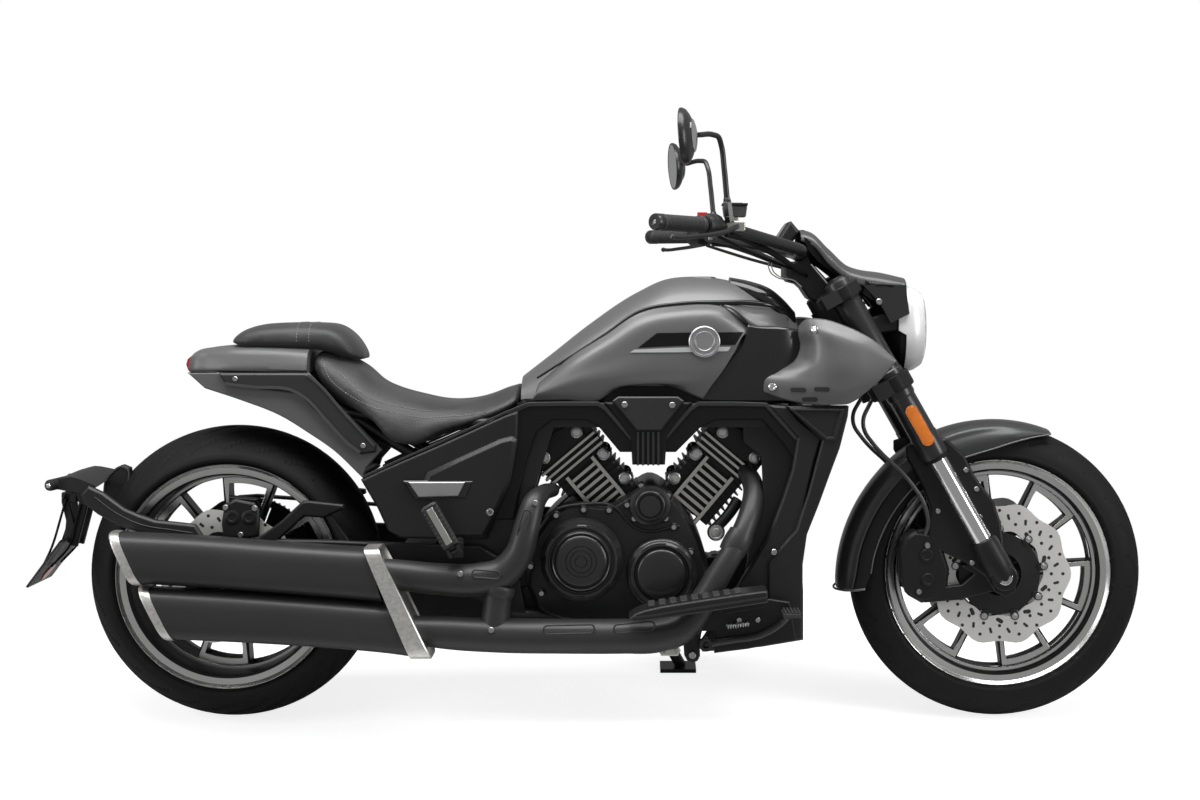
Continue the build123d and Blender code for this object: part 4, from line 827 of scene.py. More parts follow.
def stitches(line, spacing, long, radius):
    """Single stitches laid along a smooth line, each a short low bar with pointed ends."""
    count = max(2, int(np.linalg.norm(np.diff(line, axis=0), axis=1).sum() / spacing))
    spots = through(line, count)
    run = np.gradient(spots, axis=0)
    run /= np.linalg.norm(run, axis=1, keepdims=True)
    side = np.cross(run, (0, 0, 1.0))
    side /= np.maximum(np.linalg.norm(side, axis=1, keepdims=True), 1e-6)
    up = np.cross(side, run)
    forms = []
    for p, f, s, u in zip(spots, run, side, up):
        rows = [p - f * long / 2, p - f * long / 6, p + f * long / 6, p + f * long / 2]
        wide = [0.15, 1, 1, 0.15]
        ring = np.array([(1, 0), (0.5, 0.87), (-0.5, 0.87), (-1, 0), (-0.5, -0.87), (0.5, -0.87)])
        grid = np.stack([c + w * radius * (ring[:, :1] * s + ring[:, 1:] * u) for c, w in zip(rows, wide)])
        forms.append(rings(grid))
    return joined(*forms)


seat_stations = [
    (184, 0, 804, 50, 803, 80, 796, 98, 774, 80, 758, 40, 757, 0, 757),
    (205, 0, 801, 60, 800, 100, 784, 118, 748, 92, 726, 40, 724, 0, 724),
    (240, 0, 786, 70, 783, 112, 760, 132, 712, 110, 694, 60, 692, 0, 692),
    (284, 0, 758, 78, 754, 122, 730, 142, 672, 116, 668, 60, 680, 0, 680),
    (316, 0, 728, 80, 725, 132, 704, 149, 644, 122, 650, 60, 668, 0, 668),
    (350, 0, 712, 85, 709, 138, 688, 154, 612, 128, 612, 60, 650, 0, 650),
    (400, 0, 698, 86, 695, 138, 676, 155, 600, 128, 600, 60, 640, 0, 640),
    (470, 0, 686, 84, 683, 134, 668, 152, 628, 122, 626, 60, 640, 0, 640),
    (540, 0, 693, 72, 691, 118, 677, 138, 656, 112, 648, 60, 650, 0, 650),
    (590, 0, 714, 58, 711, 98, 699, 122, 680, 94, 668, 50, 668, 0, 668),
    (622, 0, 736, 44, 734, 78, 721, 100, 700, 74, 686, 40, 686, 0, 686),
]
seat_vinyl = vinyl()
seat = puffed("seat_cushion", hull(seat_stations, 60, 22))
upholstered(seat, "rider_seat")
thread = finish("grey_thread", (0.34, 0.34, 0.35), 0.7)

# ---- Pillion pad ----
# A small hump of the same vinyl over foam, on the tail cowl. Its stitching and its blank metal tag are added
# once both cushions have their final shape.
pad_stations = [
    (-4, 0, 822, 50, 821, 76, 816, 86, 813, 60, 812.5, 30, 812.5, 0, 812.5),
    (20, 0, 838, 60, 836, 90, 826, 98, 813, 60, 812.5, 30, 812.5, 0, 812.5),
    (60, 0, 851, 66, 848, 98, 834, 106, 813, 60, 812.5, 30, 812.5, 0, 812.5),
    (120, 0, 855, 68, 852, 102, 836, 108, 813, 60, 812.5, 30, 812.5, 0, 812.5),
    (180, 0, 855, 66, 852, 98, 836, 105, 812, 60, 808, 30, 808, 0, 808),
    (226, 0, 850, 60, 847, 92, 830, 100, 802, 60, 796, 30, 796, 0, 796),
    (260, 0, 826, 48, 823, 74, 808, 84, 784, 50, 780, 30, 780, 0, 780),
    (284, 0, 790, 34, 788, 50, 782, 54, 776, 34, 774, 20, 774, 0, 774),
]
pad = puffed("pillion_cushion", hull(pad_stations, 50, 20))
upholstered(pad, "pillion_pad")

# ---- Silencers ----
# Two oval silencers stacked on the right, of steel sheet painted matt black, each cut slantwise at the back
# with a brushed steel ring round its mouth. A brushed steel band clasps both at the front.
Y_SILENCER = -216.0


def box_hull(sections, along, around, power=0.62):
    """A body through slanted cross sections, each given by its top (x, z), its bottom (x, z) and its half width."""
    a = circle(around)
    up = np.sign(np.cos(a)) * np.abs(np.cos(a)) ** power
    out = np.sign(np.sin(a)) * np.abs(np.sin(a)) ** power
    loops = []
    for top, bottom, half in sections:
        top, bottom = np.array(top, float), np.array(bottom, float)
        flat = (top + bottom) / 2 + up[:, None] * (top - bottom) / 2
        loops.append(np.stack([flat[:, 0], Y_SILENCER + out * half, flat[:, 1]], -1))
    return lengthwise(np.stack(loops), along)


def straight_hull(sections, around, power=0.62):
    """The same body with straight runs between its sections."""
    return np.concatenate([box_hull([section, section], 2, around, power)[:1] for section in sections])


def brushed(name, colour, rough, stretch):
    """Steel brushed along one axis: long streaks in its colour, roughness and relief."""
    made, base, spot = material(name)
    drawn = base.node("ShaderNodeVectorMath", {"operation": "MULTIPLY"}, {0: spot, 1: stretch})
    streak = base.node("ShaderNodeTexNoise", values={"Vector": drawn, "Scale": 60.0, "Detail": 5.0})
    pale = tuple(c * 1.12 for c in colour)
    dark = tuple(c * 0.86 for c in colour)
    shade = base.node("ShaderNodeValToRGB", {"stops": [(0.3, dark), (0.7, pale)]}, {0: streak})
    bump = base.node("ShaderNodeBump", values={"Height": streak, "Strength": 0.12, "Distance": 0.0006})
    shine_of(base, {"Base Color": shade, "Metallic": 1.0, "Roughness": streak * 0.14 + rough, "Normal": bump})
    return made


steel_brushed = brushed("brushed_steel", (0.80, 0.79, 0.76), 0.32, (2.0, 12.0, 2.0))
matt_black = finish(
    "silencer_matt_black", (0.026, 0.026, 0.0262), 0.46, coat=0.08, spread=0.1, patch=6, grain=1800, relief=0.12,
)
# A flat near-black for the insides of openings: painted shade, used in the silencers' mouths and on the headlight
# bracket slots.
painted_shade_fill = finish("silencer_mouth", (0.012, 0.012, 0.012), 0.8)
upper = [
    ((-198, 427), (-152, 321), 50), ((-34, 419), (-9, 313), 50),
    ((112, 408), (133, 302), 50), ((258, 398), (279, 290), 50),
    ((324, 394), (351, 283), 49),
]
lower = [
    ((-136, 313), (-84, 206), 50), ((50, 302), (87, 198), 50),
    ((216, 290), (241, 188), 50), ((351, 279), (393, 173), 50),
    ((383, 276), (412, 170), 49),
]
bodies = joined(rings(box_hull(upper, 40, 64), caps=False), rings(box_hull(lower, 40, 64), caps=False))
piece("silencer_bodies", bodies, matt_black, "silencers", "dark_paint", sharp=40)


def mouth_ring(back_top, back_low, front_top, front_low, half):
    """A rolled ring round a slanted mouth, its inner wall turned in, and the dark inside."""
    tops, lows = np.array([back_top, front_top], float), np.array([back_low, front_low], float)
    deep = tops[1] - tops[0]
    inward = (lows[0] - tops[0]) / np.linalg.norm(lows[0] - tops[0])
    rows = []
    for step, trim, wide in (
        (1.0, -0.6, 0.6), (0.25, -1.2, 1.2), (0, 0, 0), (0, 4.5, -4.5), (0.5, 7, -7), (2.2, 7, -7),
    ):
        a = tops[0] + deep * step + inward * trim
        b = lows[0] + (lows[1] - lows[0]) * step - inward * trim
        rows.append((tuple(a), tuple(b), half + wide))
    # A dark plug closes each tube a little inside its mouth: the inside's own black, darkened further as painted shade
    # for the deep inside.
    dark = [(top, low, wide - 0.4) for top, low, wide in rows[-2:]]
    return rings(straight_hull(rows, 64), caps=False), rings(straight_hull(dark, 64))


ring_up, dark_up = mouth_ring((-216, 429), (-167, 319), (-196, 428), (-146, 319), 50)
ring_low, dark_low = mouth_ring((-156, 316), (-98, 205), (-134, 314), (-79, 204), 50)
piece("silencer_mouth_rings", joined(ring_up, ring_low), steel_brushed, sharp=30)
piece("silencer_insides", joined(dark_up, dark_low), painted_shade_fill)
band_rows = [
    ((312, 398), (410, 169), 53.5), ((343, 399), (451, 169), 53.5),
    ((345, 396), (453, 172), 51.5), ((341, 391), (449, 175), 48),
]
piece("silencer_band", rings(straight_hull(band_rows, 80, 0.3)), steel_brushed, bevel=1.5)

# ---- Exhaust pipes ----
# Painted steel pipes from each cylinder under long heat shields pressed with oval flutes, joined by a short
# drop pipe with a clamp collar.
pipe_skin = finish(
    "heat_shield_black", (0.026, 0.026, 0.026), 0.44, coat=0.06, spread=0.12, patch=7, grain=1600, relief=0.1,
)
rear_pipe = [
    (696, -96, 502), (677, -150, 501), (660, -190, 484), (647, -210, 439), (626, -216, 375), (597, -216, 342),
    (545, -216, 328), (466, -216, 329), (372, -216, 339), (329, -216, 346),
]
front_pipe = [
    (1103, -70, 551), (1124, -118, 513), (1114, -165, 460), (1083, -200, 396), (1045, -214, 335), (1011, -216, 277),
    (970, -216, 229), (913, -216, 211), (851, -216, 210), (716, -216, 210), (591, -216, 212), (466, -216, 219),
    (408, -216, 223),
]
drop = [(589, -214, 310), (584, -214, 273), (580, -214, 231)]
pipes = joined(
    tube(rear_pipe, [15, 18, 24, 27, 30, 33, 34, 33, 31, 27], 120),
    tube(front_pipe, [20, 22, 23, 24, 26, 30, 34, 35.5, 36, 36, 36, 34, 29], 160), tube(drop, [29, 29, 31], 12),
)
piece("exhaust_tubes", pipes, pipe_skin, "exhaust_pipes", "dark_paint", sharp=50)
collar = [(591, -214, 318), (590, -214, 314), (589, -214, 300), (588, -214, 294)]
piece("exhaust_collar", tube(collar, [30, 32, 32, 30], 14, 40), pipe_skin)


def flute(x0, z0, x1, z1, half, y):
    """The raised rim of a long oval pressed into a shield, between two points, at depth y."""
    long, tilt = math.hypot(x1 - x0, z1 - z0), math.degrees(math.atan2(z1 - z0, x1 - x0))
    a = circle(40)
    loops = []
    for size, high in ((half, 0.0), (half - 0.6, 1.0), (half - 2.0, 1.3), (half - 3.2, 0.6), (half - 3.8, -0.4)):
        x = size * np.cos(a) + np.sign(np.cos(a) + 1e-9) * long / 2
        loops.append(np.stack([x, 0 * a - high, size * np.sin(a)], -1))
    form = rings(loops, caps=False)
    return moved(spun(form, tilt), ((x0 + x1) / 2, y, (z0 + z1) / 2))


flutes = joined(
    flute(544, 345, 585, 342, 10, -249.6), flute(636, 428, 648, 467, 10, -238),
    flute(692, 229, 779, 231, 11, -249.8), flute(837, 231, 903, 237, 11, -248.6),
)
piece("exhaust_flutes", flutes, pipe_skin, sharp=60)
pipe_bolts = joined(
    bolts([(511, 345)], 6, 4, -249), bolts([(665, 488)], 6, 4, -221), bolts([(575, 229)], 6, 4, -249.5),
)
steel_bolt = finish("bolt_steel", (0.55, 0.55, 0.55), 0.28, metal=1.0)
piece("exhaust_bolts", pipe_bolts, steel_bolt)
piece(
    "exhaust_front_clamp",
    tube([(1096, -190, 424), (1090, -193, 411), (1077, -198, 389), (1070, -200, 379)], [26, 28.5, 28.5, 26], 10, 36),
    pipe_skin,
)

# ---- Engine ----
# An 80 degree V-twin in black enamel. Each cylinder's three head fins and the two bars that frame its side
# fins are machined bright at their edges, and turned bolt caps cover the head bolts.
engine_enamel = finish(
    "engine_enamel", (0.008, 0.008, 0.0085), 0.42, coat=0.15, shine=0.4, spread=0.15, grain=1100, relief=0.3,
    edge=1.0,
)
machined = finish("machined_edge", (0.62, 0.61, 0.58), 0.3, metal=1.0, spread=0.1, patch=30, grain=1500, relief=0.2)
cap_skin = finish("turned_cap", (0.66, 0.66, 0.65), 0.28, metal=1.0, spread=0.1, patch=60, grain=1500, relief=0.25)


def block_form(x0, x1, y0, y1, z0, z1):
    return slab([(x0, z0), (x1, z0), (x1, z1), (x0, z1)], y0, y1)


def tilted(form, x, z, degrees):
    """A form drawn upright from the foot of a cylinder, leaned to its angle and set on the crankcase."""
    return moved(spun(form, -degrees), (x, 0, z))


def cylinder(flip):
    """One cylinder upright from the crankcase, as black, bright and cap forms; flip turns its deeper side to the V."""
    black = [block_form(-60, 60, -77, 77, 28, 150), block_form(-66, 66, -83, 83, 148, 188)]
    head = [(-68, 174), (72, 174), (75, 205), (58, 231), (18, 247), (-32, 245), (-66, 228)]
    black.append(slab([(flip * x, z) for x, z in head], -80, 80))
    black.append(slab([(flip * x * 0.74, 210 + (z - 210) * 0.7) for x, z in head], -86, 86))
    for level in range(8):
        z = 33 + 14.5 * level
        black.append(block_form(-70, 70, -84, 84, z, z + 3.5))
    bright = []
    for level in range(3):
        z = 152 + 13.5 * level
        black.append(block_form(-74, 74, -94, 94, z - 0.8, z + 5.3))
        bright.append(block_form(-73.5, 73.5, -96, -93.8, z - 0.6, z + 5.1))
        bright.append(block_form(-73.5, 73.5, 93.8, 96, z - 0.6, z + 5.1))
    for level in range(7):
        z = 34 + 15.5 * level
        for side in (-1, 1):
            black.append(block_form(-31, 31, *sorted((side * 78, side * 92)), z - 1.9, z + 5.9))
            bright.append(block_form(-31, 31, *sorted((side * 91.8, side * 93.6)), z - 1.6, z + 5.6))
    for x in (-35, 35):
        for side in (-1, 1):
            black.append(block_form(x - 4.5, x + 4.5, *sorted((side * 78, side * 94)), 16, 145))
            bright.append(block_form(x - 4, x + 4, *sorted((side * 93.8, side * 95.4)), 16.5, 144.5))
    cap = turned([(0, -9.5), (11, -9.5), (13.6, -8), (14.4, -5.5), (14.4, 0)], 32)
    ring = turned([(9, -9.6), (9.6, -10.2), (10.2, -9.6)], 32)
    caps = []
    for x, z, y in ((-46, 208, -80), (44, 206, -80), (57, 132, -77), (59, 62, -77)):
        caps.append(moved(joined(cap, ring), (flip * x, y, z)))
        black.append(moved(turned([(17, 0), (17, 6), (19, 20)], 24), (flip * x, y - 2, z)))
    return joined(*black), joined(*bright), both(joined(*caps))


CYLINDER_FOOT_Z = 440
for tag, x, tilt, flip in (("rear", 845, -40, 1), ("front", 962, 40, -1)):
    black, bright, caps = cylinder(flip)
    node = "cylinders" if tag == "rear" else None
    piece("cylinder_" + tag, tilted(black, x, CYLINDER_FOOT_Z, tilt), engine_enamel, node, "engine_black", bevel=1.0)
    piece("cylinder_" + tag + "_fin_edges", tilted(bright, x, CYLINDER_FOOT_Z, tilt), machined, bevel=0.5)
    piece("cylinder_" + tag + "_caps", tilted(caps, x, CYLINDER_FOOT_Z, tilt), cap_skin)

case_outline = [
    (640, 300), (668, 250), (760, 222), (960, 222), (1010, 262), (1030, 320), (1014, 392), (985, 450), (954, 491),
    (905, 520), (860, 497), (824, 476), (720, 474), (672, 428), (650, 380),
]


def shrink(outline, by):
    """A side outline drawn in by a share, towards its middle."""
    flat = np.array(outline, float)
    middle = (flat.max(0) + flat.min(0)) / 2
    return middle + (flat - middle) * by


def closed(outline, count):
    """A smooth closed line through an outline's points."""
    return through(outline + outline[:1], count)[:-1]


def stepped(outline, steps):
    """A moulding through an outline drawn in by a share at each (share, y) step, capped at the first and last."""
    return layered([(shrink(outline, by), y) for by, y in steps])


case_steps = [
    (0.93, 148), (0.945, 147), (0.99, 124), (1.0, 118), (1.0, -118), (0.99, -124), (0.945, -147), (0.93, -148),
]
piece(
    "crankcase_body", stepped(closed(case_outline, 90), case_steps), engine_enamel, "crankcase", "engine_black",
    sharp=30,
)


def round_cover(x, z, profile, steps=96):
    """A turned cover standing out to the right of the case: (radius, height) points from its rim inward."""
    return moved(turned([(r, -148 - h) for r, h in profile], steps), (x, 0, z))


clutch_profile = [
    (88, 0), (88, 18), (86, 24), (81, 30), (78, 36), (76, 41), (73, 43), (70, 43), (68, 40), (66, 40), (64, 43),
    (62, 47), (60, 49), (58.5, 48), (57.5, 43), (56, 43), (55, 47), (53, 50), (47, 52), (33, 53.2), (32, 52),
    (31, 53.4), (24, 54), (23, 52.8), (22, 54.2), (13, 54.4), (12, 53.2), (11, 54.5), (0, 54.6),
]
gear_profile = [
    (75, 0), (75, 10), (73, 15), (69, 18), (66, 19), (64, 22), (61, 24), (59, 24), (57, 21), (55.5, 18), (54, 18),
    (53, 22), (51, 26), (47, 28), (30, 29), (0, 29.4),
]
pump_profile = [
    (44, 0), (44, 8), (42, 13), (38, 15), (34, 16), (32, 20), (29, 22), (27, 22), (25.5, 18), (24, 18), (22, 22),
    (0, 23),
]
CLUTCH, GEARS = (759, 362), (928, 332)
covers = joined(
    round_cover(*CLUTCH, clutch_profile), round_cover(*GEARS, gear_profile), round_cover(904, 475, pump_profile, 64),
)
cover_skin = finish(
    "cover_satin_black", (0.016, 0.016, 0.0165), 0.32, coat=0.25, spread=0.12, patch=8, grain=1300, relief=0.15,
)
piece("engine_round_covers", covers, cover_skin, "engine_covers", "engine_black", sharp=40)
ledge = through(
    [(668, 420), (700, 462), (760, 476), (830, 470), (858, 440), (880, 424), (915, 420), (950, 428), (985, 430)], 60,
)
ledge_form = tube([(x, -147, z) for x, z in ledge[::4]], [4.0] * len(ledge[::4]), 60, 10)
piece("crankcase_ridge", ledge_form, engine_enamel, sharp=60)
flange_spots = [
    (705, 454), (763, 466), (817, 465), (855, 476), (870, 447), (885, 517), (903, 505),
    (942, 496), (937, 447), (954, 429), (990, 376), (651, 346), (674, 289),
]
bosses = at_each(turned([(9, 8), (9, -3), (7.5, -4.5), (0, -4.5)], 20), flange_spots, -148)
piece("crankcase_bosses", bosses, engine_enamel)
piece("crankcase_bolts", bolts(flange_spots, 5.6, 5, -152), steel_bolt)
clutch_vents = [arc_bar(72.5, 76.5, 45 * n + 6, 45 * n + 36, -190.5, -189, 10) for n in range(8)]
gear_vents = [arc_bar(62, 65.5, 72 * n + 10, 72 * n + 60, -171.6, -170, 10) for n in range(5)]
vents = joined(at_each(joined(*clutch_vents), [CLUTCH]), at_each(joined(*gear_vents), [GEARS]))
piece("engine_cover_vents", vents, hole_skin)
left_profile = [(96, 0), (96, 20), (92, 28), (84, 33), (70, 35), (66, 38), (64, 43), (58, 46), (30, 47), (0, 47)]
left_cover = moved(turned([(r, 148 + h) for r, h in left_profile], 96), (905, 0, 345))
sprocket_outline = [(590, 290), (620, 262), (712, 262), (764, 312), (764, 388), (712, 428), (610, 425)]
sprocket_steps = [(0.98, 159.5), (1.0, 162), (1.0, 168), (0.96, 176), (0.9, 179), (0.6, 180)]
sprocket_cover = stepped(closed(sprocket_outline, 60), sprocket_steps)
piece("engine_left_covers", joined(left_cover, sprocket_cover), cover_skin, sharp=40)
plate_copper = finish("sensor_copper", (0.55, 0.22, 0.10), 0.35, metal=0.9)
sensors = joined(
    tube([(623, -100, 536), (638, -100, 498)], [4.5, 4.5], 3, 12),
    tube([(1157, -100, 528), (1144, -100, 476)], [4.5, 4.5], 3, 12),
)
piece("engine_sensors", sensors, plate_copper)
head_pipes = joined(
    tube([(1155, -40, 640), (1126, -60, 650), (1103, -70, 640)], [9, 9, 9], 16, 16),
    tube([(700, -30, 656), (714, -50, 647), (710, -60, 624)], [7, 7, 7], 14, 14),
    tube([(775, -60, 476), (736, -80, 479), (711, -90, 458)], [11, 11, 11], 14, 16),
    tube([(1094, -90, 480), (1072, -100, 449), (1041, -105, 417)], [13, 12, 12], 14, 18),
)
piece("engine_hoses", head_pipes, engine_enamel)
pivot_plates = joined(
    slab([(373, 292), (723, 292), (753, 218), (710, 192), (386, 201)], -84, -66),
    slab(
        [
            (1123, 669), (1162, 682), (1226, 601), (1204, 528), (1157, 412), (1106, 326), (1114, 395), (1144, 481),
            (1140, 577), (1102, 609), (1102, 644),
        ],
        -146, -138,
    ),
)
piece("engine_side_plates", pivot_plates, engine_enamel, bevel=1.5)
drain_cap = moved(
    turned([(16.5, 0), (16.5, -10), (15, -12), (11, -12), (10, -11), (9, -12), (0, -12.5)], 36), (1045, -118, 414),
)
piece("engine_front_cap", drain_cap, cap_skin)
cap_arm = tube([(1048, -60, 407), (1045, -116, 414)], [19, 19], 4, 28)
piece("engine_front_cap_boss", cap_arm, engine_enamel)

# ---- Frame covers ----
# One satin black moulding each side hides the frame beam and frames the engine. A pale bevel runs along its
# upper edge, and a middle panel with a ribbed foot drops between the cylinders.


def inset(outline, by):
    """A side outline moved inward by a distance, each corner along the mean of its two sides' normals."""
    flat = np.array(outline, float)
    before, after = flat - np.roll(flat, 1, 0), np.roll(flat, -1, 0) - flat
    area = np.sum(flat[:, 0] * np.roll(flat[:, 1], -1) - flat[:, 1] * np.roll(flat[:, 0], -1))
    turn = 1 if area > 0 else -1
    n1 = np.column_stack([-before[:, 1], before[:, 0]]) / np.linalg.norm(before, axis=1, keepdims=True)
    n2 = np.column_stack([-after[:, 1], after[:, 0]]) / np.linalg.norm(after, axis=1, keepdims=True)
    mean = n1 + n2
    mean /= np.maximum((mean * n1).sum(1, keepdims=True), 0.35)
    return flat + turn * by * mean


def rounded(outline, y0, y1, trim, edge):
    """A slab from y0 to y1 whose outline is drawn in by trim over the last edge of its thickness, at both faces."""
    small = inset(outline, trim)
    return layered([(small, y0), (outline, y0 + edge), (outline, y1 - edge), (small, y1)])


def moulding(outline, back, face, chamfer, lift=None):
    """A plate from y back to y face with a chamfer round its face."""
    lift = chamfer if lift is None else lift
    sign = 1 if face < back else -1
    return layered([(outline, back), (outline, face + sign * lift), (inset(outline, chamfer), face)])


def strip_along(points, half, y0, y1):
    """A flat strip of a given half width along a broken line of (x, z) points."""
    p = np.array(points, float)
    run = np.gradient(p, axis=0)
    run /= np.linalg.norm(run, axis=1, keepdims=True)
    side = np.column_stack([-run[:, 1], run[:, 0]])
    rows = np.stack([p + side * half, p - side * half])
    front = np.stack([rows[0][:, 0], np.full(len(p), y1), rows[0][:, 1]], -1)
    low = np.stack([rows[1][:, 0], np.full(len(p), y1), rows[1][:, 1]], -1)
    grid = np.stack([front - (0, y1 - y0, 0), front, low, low - (0, y1 - y0, 0)])
    return rings(grid.transpose(1, 0, 2))


cover_black = finish(
    "cover_moulded_black", (0.011, 0.011, 0.0115), 0.42, coat=0.04, shine=0.45, spread=0.1, patch=6, grain=2200,
    relief=0.25, edge=1.0,
)
beam_black = finish(
    "frame_cover_black", (0.005, 0.005, 0.0055), 0.42, spread=0.1, patch=6, grain=2200, relief=0.2, edge=1.0,
    shine=0.3,
)
cover_soft = finish(
    "cover_soft_grey", (0.024, 0.024, 0.0245), 0.42, coat=0.05, spread=0.1, patch=6, grain=2200, relief=0.25,
)
cover_pale = finish("cover_bevel_black", (0.03, 0.03, 0.031), 0.34, coat=0.1, grain=2200, relief=0.2)
beam = [
    (598, 671), (646, 694), (1152, 692), (1220, 614), (1211, 568), (1188, 602), (1140, 657),
    (1043, 657), (1009, 640), (958, 589), (840, 589), (794, 644), (768, 657), (697, 657),
    (665, 631), (642, 568), (617, 446), (570, 446), (598, 551), (621, 614),
]
beams = moulding(beam, -151, -170, 3)
middle = [(807, 695), (992, 695), (939, 624), (935, 563), (866, 563), (863, 620)]
middle_cover = moulding(middle, -153, -178, 4)
twin("frame_covers_main", joined(beams, middle_cover), beam_black, "frame_covers", "black_plastic", bevel=1.2)
rails = joined(
    strip_along([(600, 670), (649, 690), (714, 691), (794, 691), (811, 680), (866, 617)], 4.6, -166, -174),
    strip_along([(933, 617), (988, 680), (1005, 691), (1082, 691), (1148, 689), (1213, 617)], 4.6, -166, -174),
)
twin("frame_cover_rails", rails, cover_pale, bevel=1.5)
panel = [(824, 698), (836, 707), (962, 707), (975, 698), (926, 635), (876, 635)]
ribs = joined(*[block_form(x - 2.2, x + 2.2, -181.5, -176, 562, 632) for x in np.linspace(878, 921, 5)])
twin("frame_cover_middles", joined(moulding(panel, -176, -184, 3), ribs), cover_soft, bevel=0.8)
bolted("frame_cover_bolts", [(850, 690), (950, 689)], 6.5, 3.6, -184)

# ---- Radiator covers ----
# A tall moulded shroud each side of the radiator, split by a seam, with a blank triangular recess at the top
# that a raised rim surrounds.
shroud_back = [
    (1152, 689), (1213, 619), (1202, 552), (1181, 489), (1148, 404), (1080, 295), (1013, 194),
    (1013, 169), (1135, 179), (1226, 194), (1226, 299), (1219, 404), (1232, 489), (1251, 573), (1266, 619),
    (1219, 657), (1194, 687),
]
shroud_front = [
    (1189, 687), (1321, 687), (1319, 666), (1302, 599), (1281, 543), (1258, 480), (1233, 417),
    (1224, 354), (1224, 280), (1224, 196), (1176, 190), (1151, 280), (1151, 360), (1189, 404),
    (1210, 427), (1237, 511), (1264, 614),
]
recess = [(1194, 682), (1312, 682), (1303, 650), (1293, 616), (1272, 614)]
rim_rows = [
    (recess, -184), (recess, -190.5), (inset(recess, 1.5), -192), (inset(recess, 6), -192),
    (inset(recess, 7), -190.5), (inset(recess, 8), -186.5),
]
shrouds = joined(moulding(shroud_back, -151, -178, 5), moulding(shroud_front, -151, -186, 4), layered(rim_rows))
twin("radiator_shrouds", shrouds, cover_black, "radiator_covers", "black_plastic", bevel=1.5)
bolted("radiator_shroud_bolts", [(1163, 381)], 6.5, 3.6, -186)
core = [(1190, 302), (1218, 302), (1256, 584), (1230, 584)]
fins = []
for n in range(60):
    share = (n + 0.5) / 60
    x, z = 1188 + 39 * share, 304 + 278 * share
    fins.append(slab([(x, z), (x + 36, z - 3), (x + 36, z - 1.6), (x, z + 1.4)], -118, 118))
tanks = joined(
    slab(core, -149, -118), slab(core, 118, 149),
    slab([(1226, 572), (1260, 572), (1263, 592), (1230, 592)], -149, 149),
)
low_tank = slab([(1187, 299), (1223, 299), (1225, 316), (1190, 316)], -149, 149)
piece("radiator_core", joined(tanks, low_tank, *fins), engine_enamel, "radiator", "engine_black", bevel=0.6)
radiator_back = finish("radiator_weave", (0.05, 0.05, 0.052), 0.5, metal=0.6, grain=200, relief=0.4)
piece("radiator_sheet", slab([(1196, 310), (1202, 310), (1240, 580), (1234, 580)], -118, 118), radiator_back)

# ---- Side covers ----
# Satin black covers under the seat with a raised triangular field and a bare silver tag let into its corner.
side_outline = [
    (294, 532), (334, 551), (377, 570), (461, 606), (598, 668), (627, 678), (625, 615),
    (613, 530), (575, 442), (562, 406), (461, 406), (377, 408), (351, 425), (330, 471),
]
field = [
    (427, 528), (435, 547), (505, 580), (589, 618), (614, 624), (626, 616), (612, 532),
    (572, 438), (555, 408), (484, 408),
]
side = joined(moulding(side_outline, -159, -178, 5), moulding(field, -170, -188, 9, 8))
twin("side_cover_mouldings", side, cover_black, "side_covers", "black_plastic", bevel=2.0)
edge_line = [(299, 537), (377, 573), (461, 610), (598, 672), (644, 691)]
twin("side_cover_edges", strip_along(edge_line, 2.6, -164, -176), cover_pale, bevel=1.0)
tag = [(397, 528), (516, 528), (501, 499), (418, 497)]
tag_under = [(384, 531), (534, 531), (518, 493), (409, 491)]
twin("side_tags", moulding(tag, -184, -192.5, 1.2), badge_skin, bevel=0.4)
twin("side_tag_beds", moulding(tag_under, -176, -189.5, 3), gloss_black, bevel=0.8)
bolted("side_cover_bolts", [(568, 465)], 7.5, 2.5, -187)

# ---- Front mudguard ----
# A satin grey blade over the front tyre, short in front and long behind, on moulded black skirts, with a rolled
# pale lip along its edge.


def guard_grid(angles, radius, flare, half):
    """The guard's sheet as rows across it, its skirts growing back from the tip: (angle, how deep a skirt)."""
    rows = []
    for degrees, skirt in angles:
        out = radius + flare * np.clip((degrees - 140) / 45, 0, 1) ** 1.5
        wide = half * (0.72 + 0.28 * min(1, skirt * 1.6))
        low = 8 + 58 * skirt
        section = [
            (0, 0), (0.35, 1.5), (0.68, 4 + 4 * min(1, skirt * 1.6)), (0.9, 20 * skirt + 6), (1.0, 34 * skirt + 7.2),
            (1.0, low + 0.4),
        ]
        line = through(section, 18)
        y = np.concatenate([-line[::-1, 0], line[1:, 0]]) * wide
        r = out - np.concatenate([line[::-1, 1], line[1:, 1]])
        a = math.radians(degrees)
        rows.append(np.column_stack([r * math.cos(a), y, r * math.sin(a)]))
    return np.stack(rows)


knots = [
    (69, 0.0), (72, 0.14), (77, 0.36), (84, 0.62), (92, 0.86), (102, 1.0), (120, 1.0), (145, 1.0), (170, 1.0),
    (182, 0.96), (186.5, 0.8),
]
guard = guard_grid(through(knots, 90), 330.0, 18.0, 73.0)
satin_guard = finish(
    "satin_grey_guard", (0.055, 0.056, 0.057), 0.38, metal=0.35, coat=0.15, spread=0.06, patch=5, grain=2400,
    relief=0.05,
)
split = 32
blade = joined(grid_form(guard[:split + 1]), grid_form(guard[split:, 8:27]))
skirts = joined(grid_form(guard[split:, :9]), grid_form(guard[split:, 26:]))
piece(
    "front_guard_blade", moved(blade, at_front), satin_guard, "front_mudguard", "satin_paint", sharp=60, wall=3.0,
    body="steering",
)
piece("front_guard_skirts", moved(skirts, at_front), beam_black, sharp=60, wall=3.2, body="steering")
lip = joined(
    tube(guard[::6, 0], [1.9] * len(guard[::6]), 90, 8), tube(guard[::6, -1], [1.9] * len(guard[::6]), 90, 8),
    tube(guard[-1, ::3], [2.6] * len(guard[-1, ::3]), 40, 8),
)
piece("front_guard_lip", moved(lip, at_front), satin, sharp=60, body="steering")

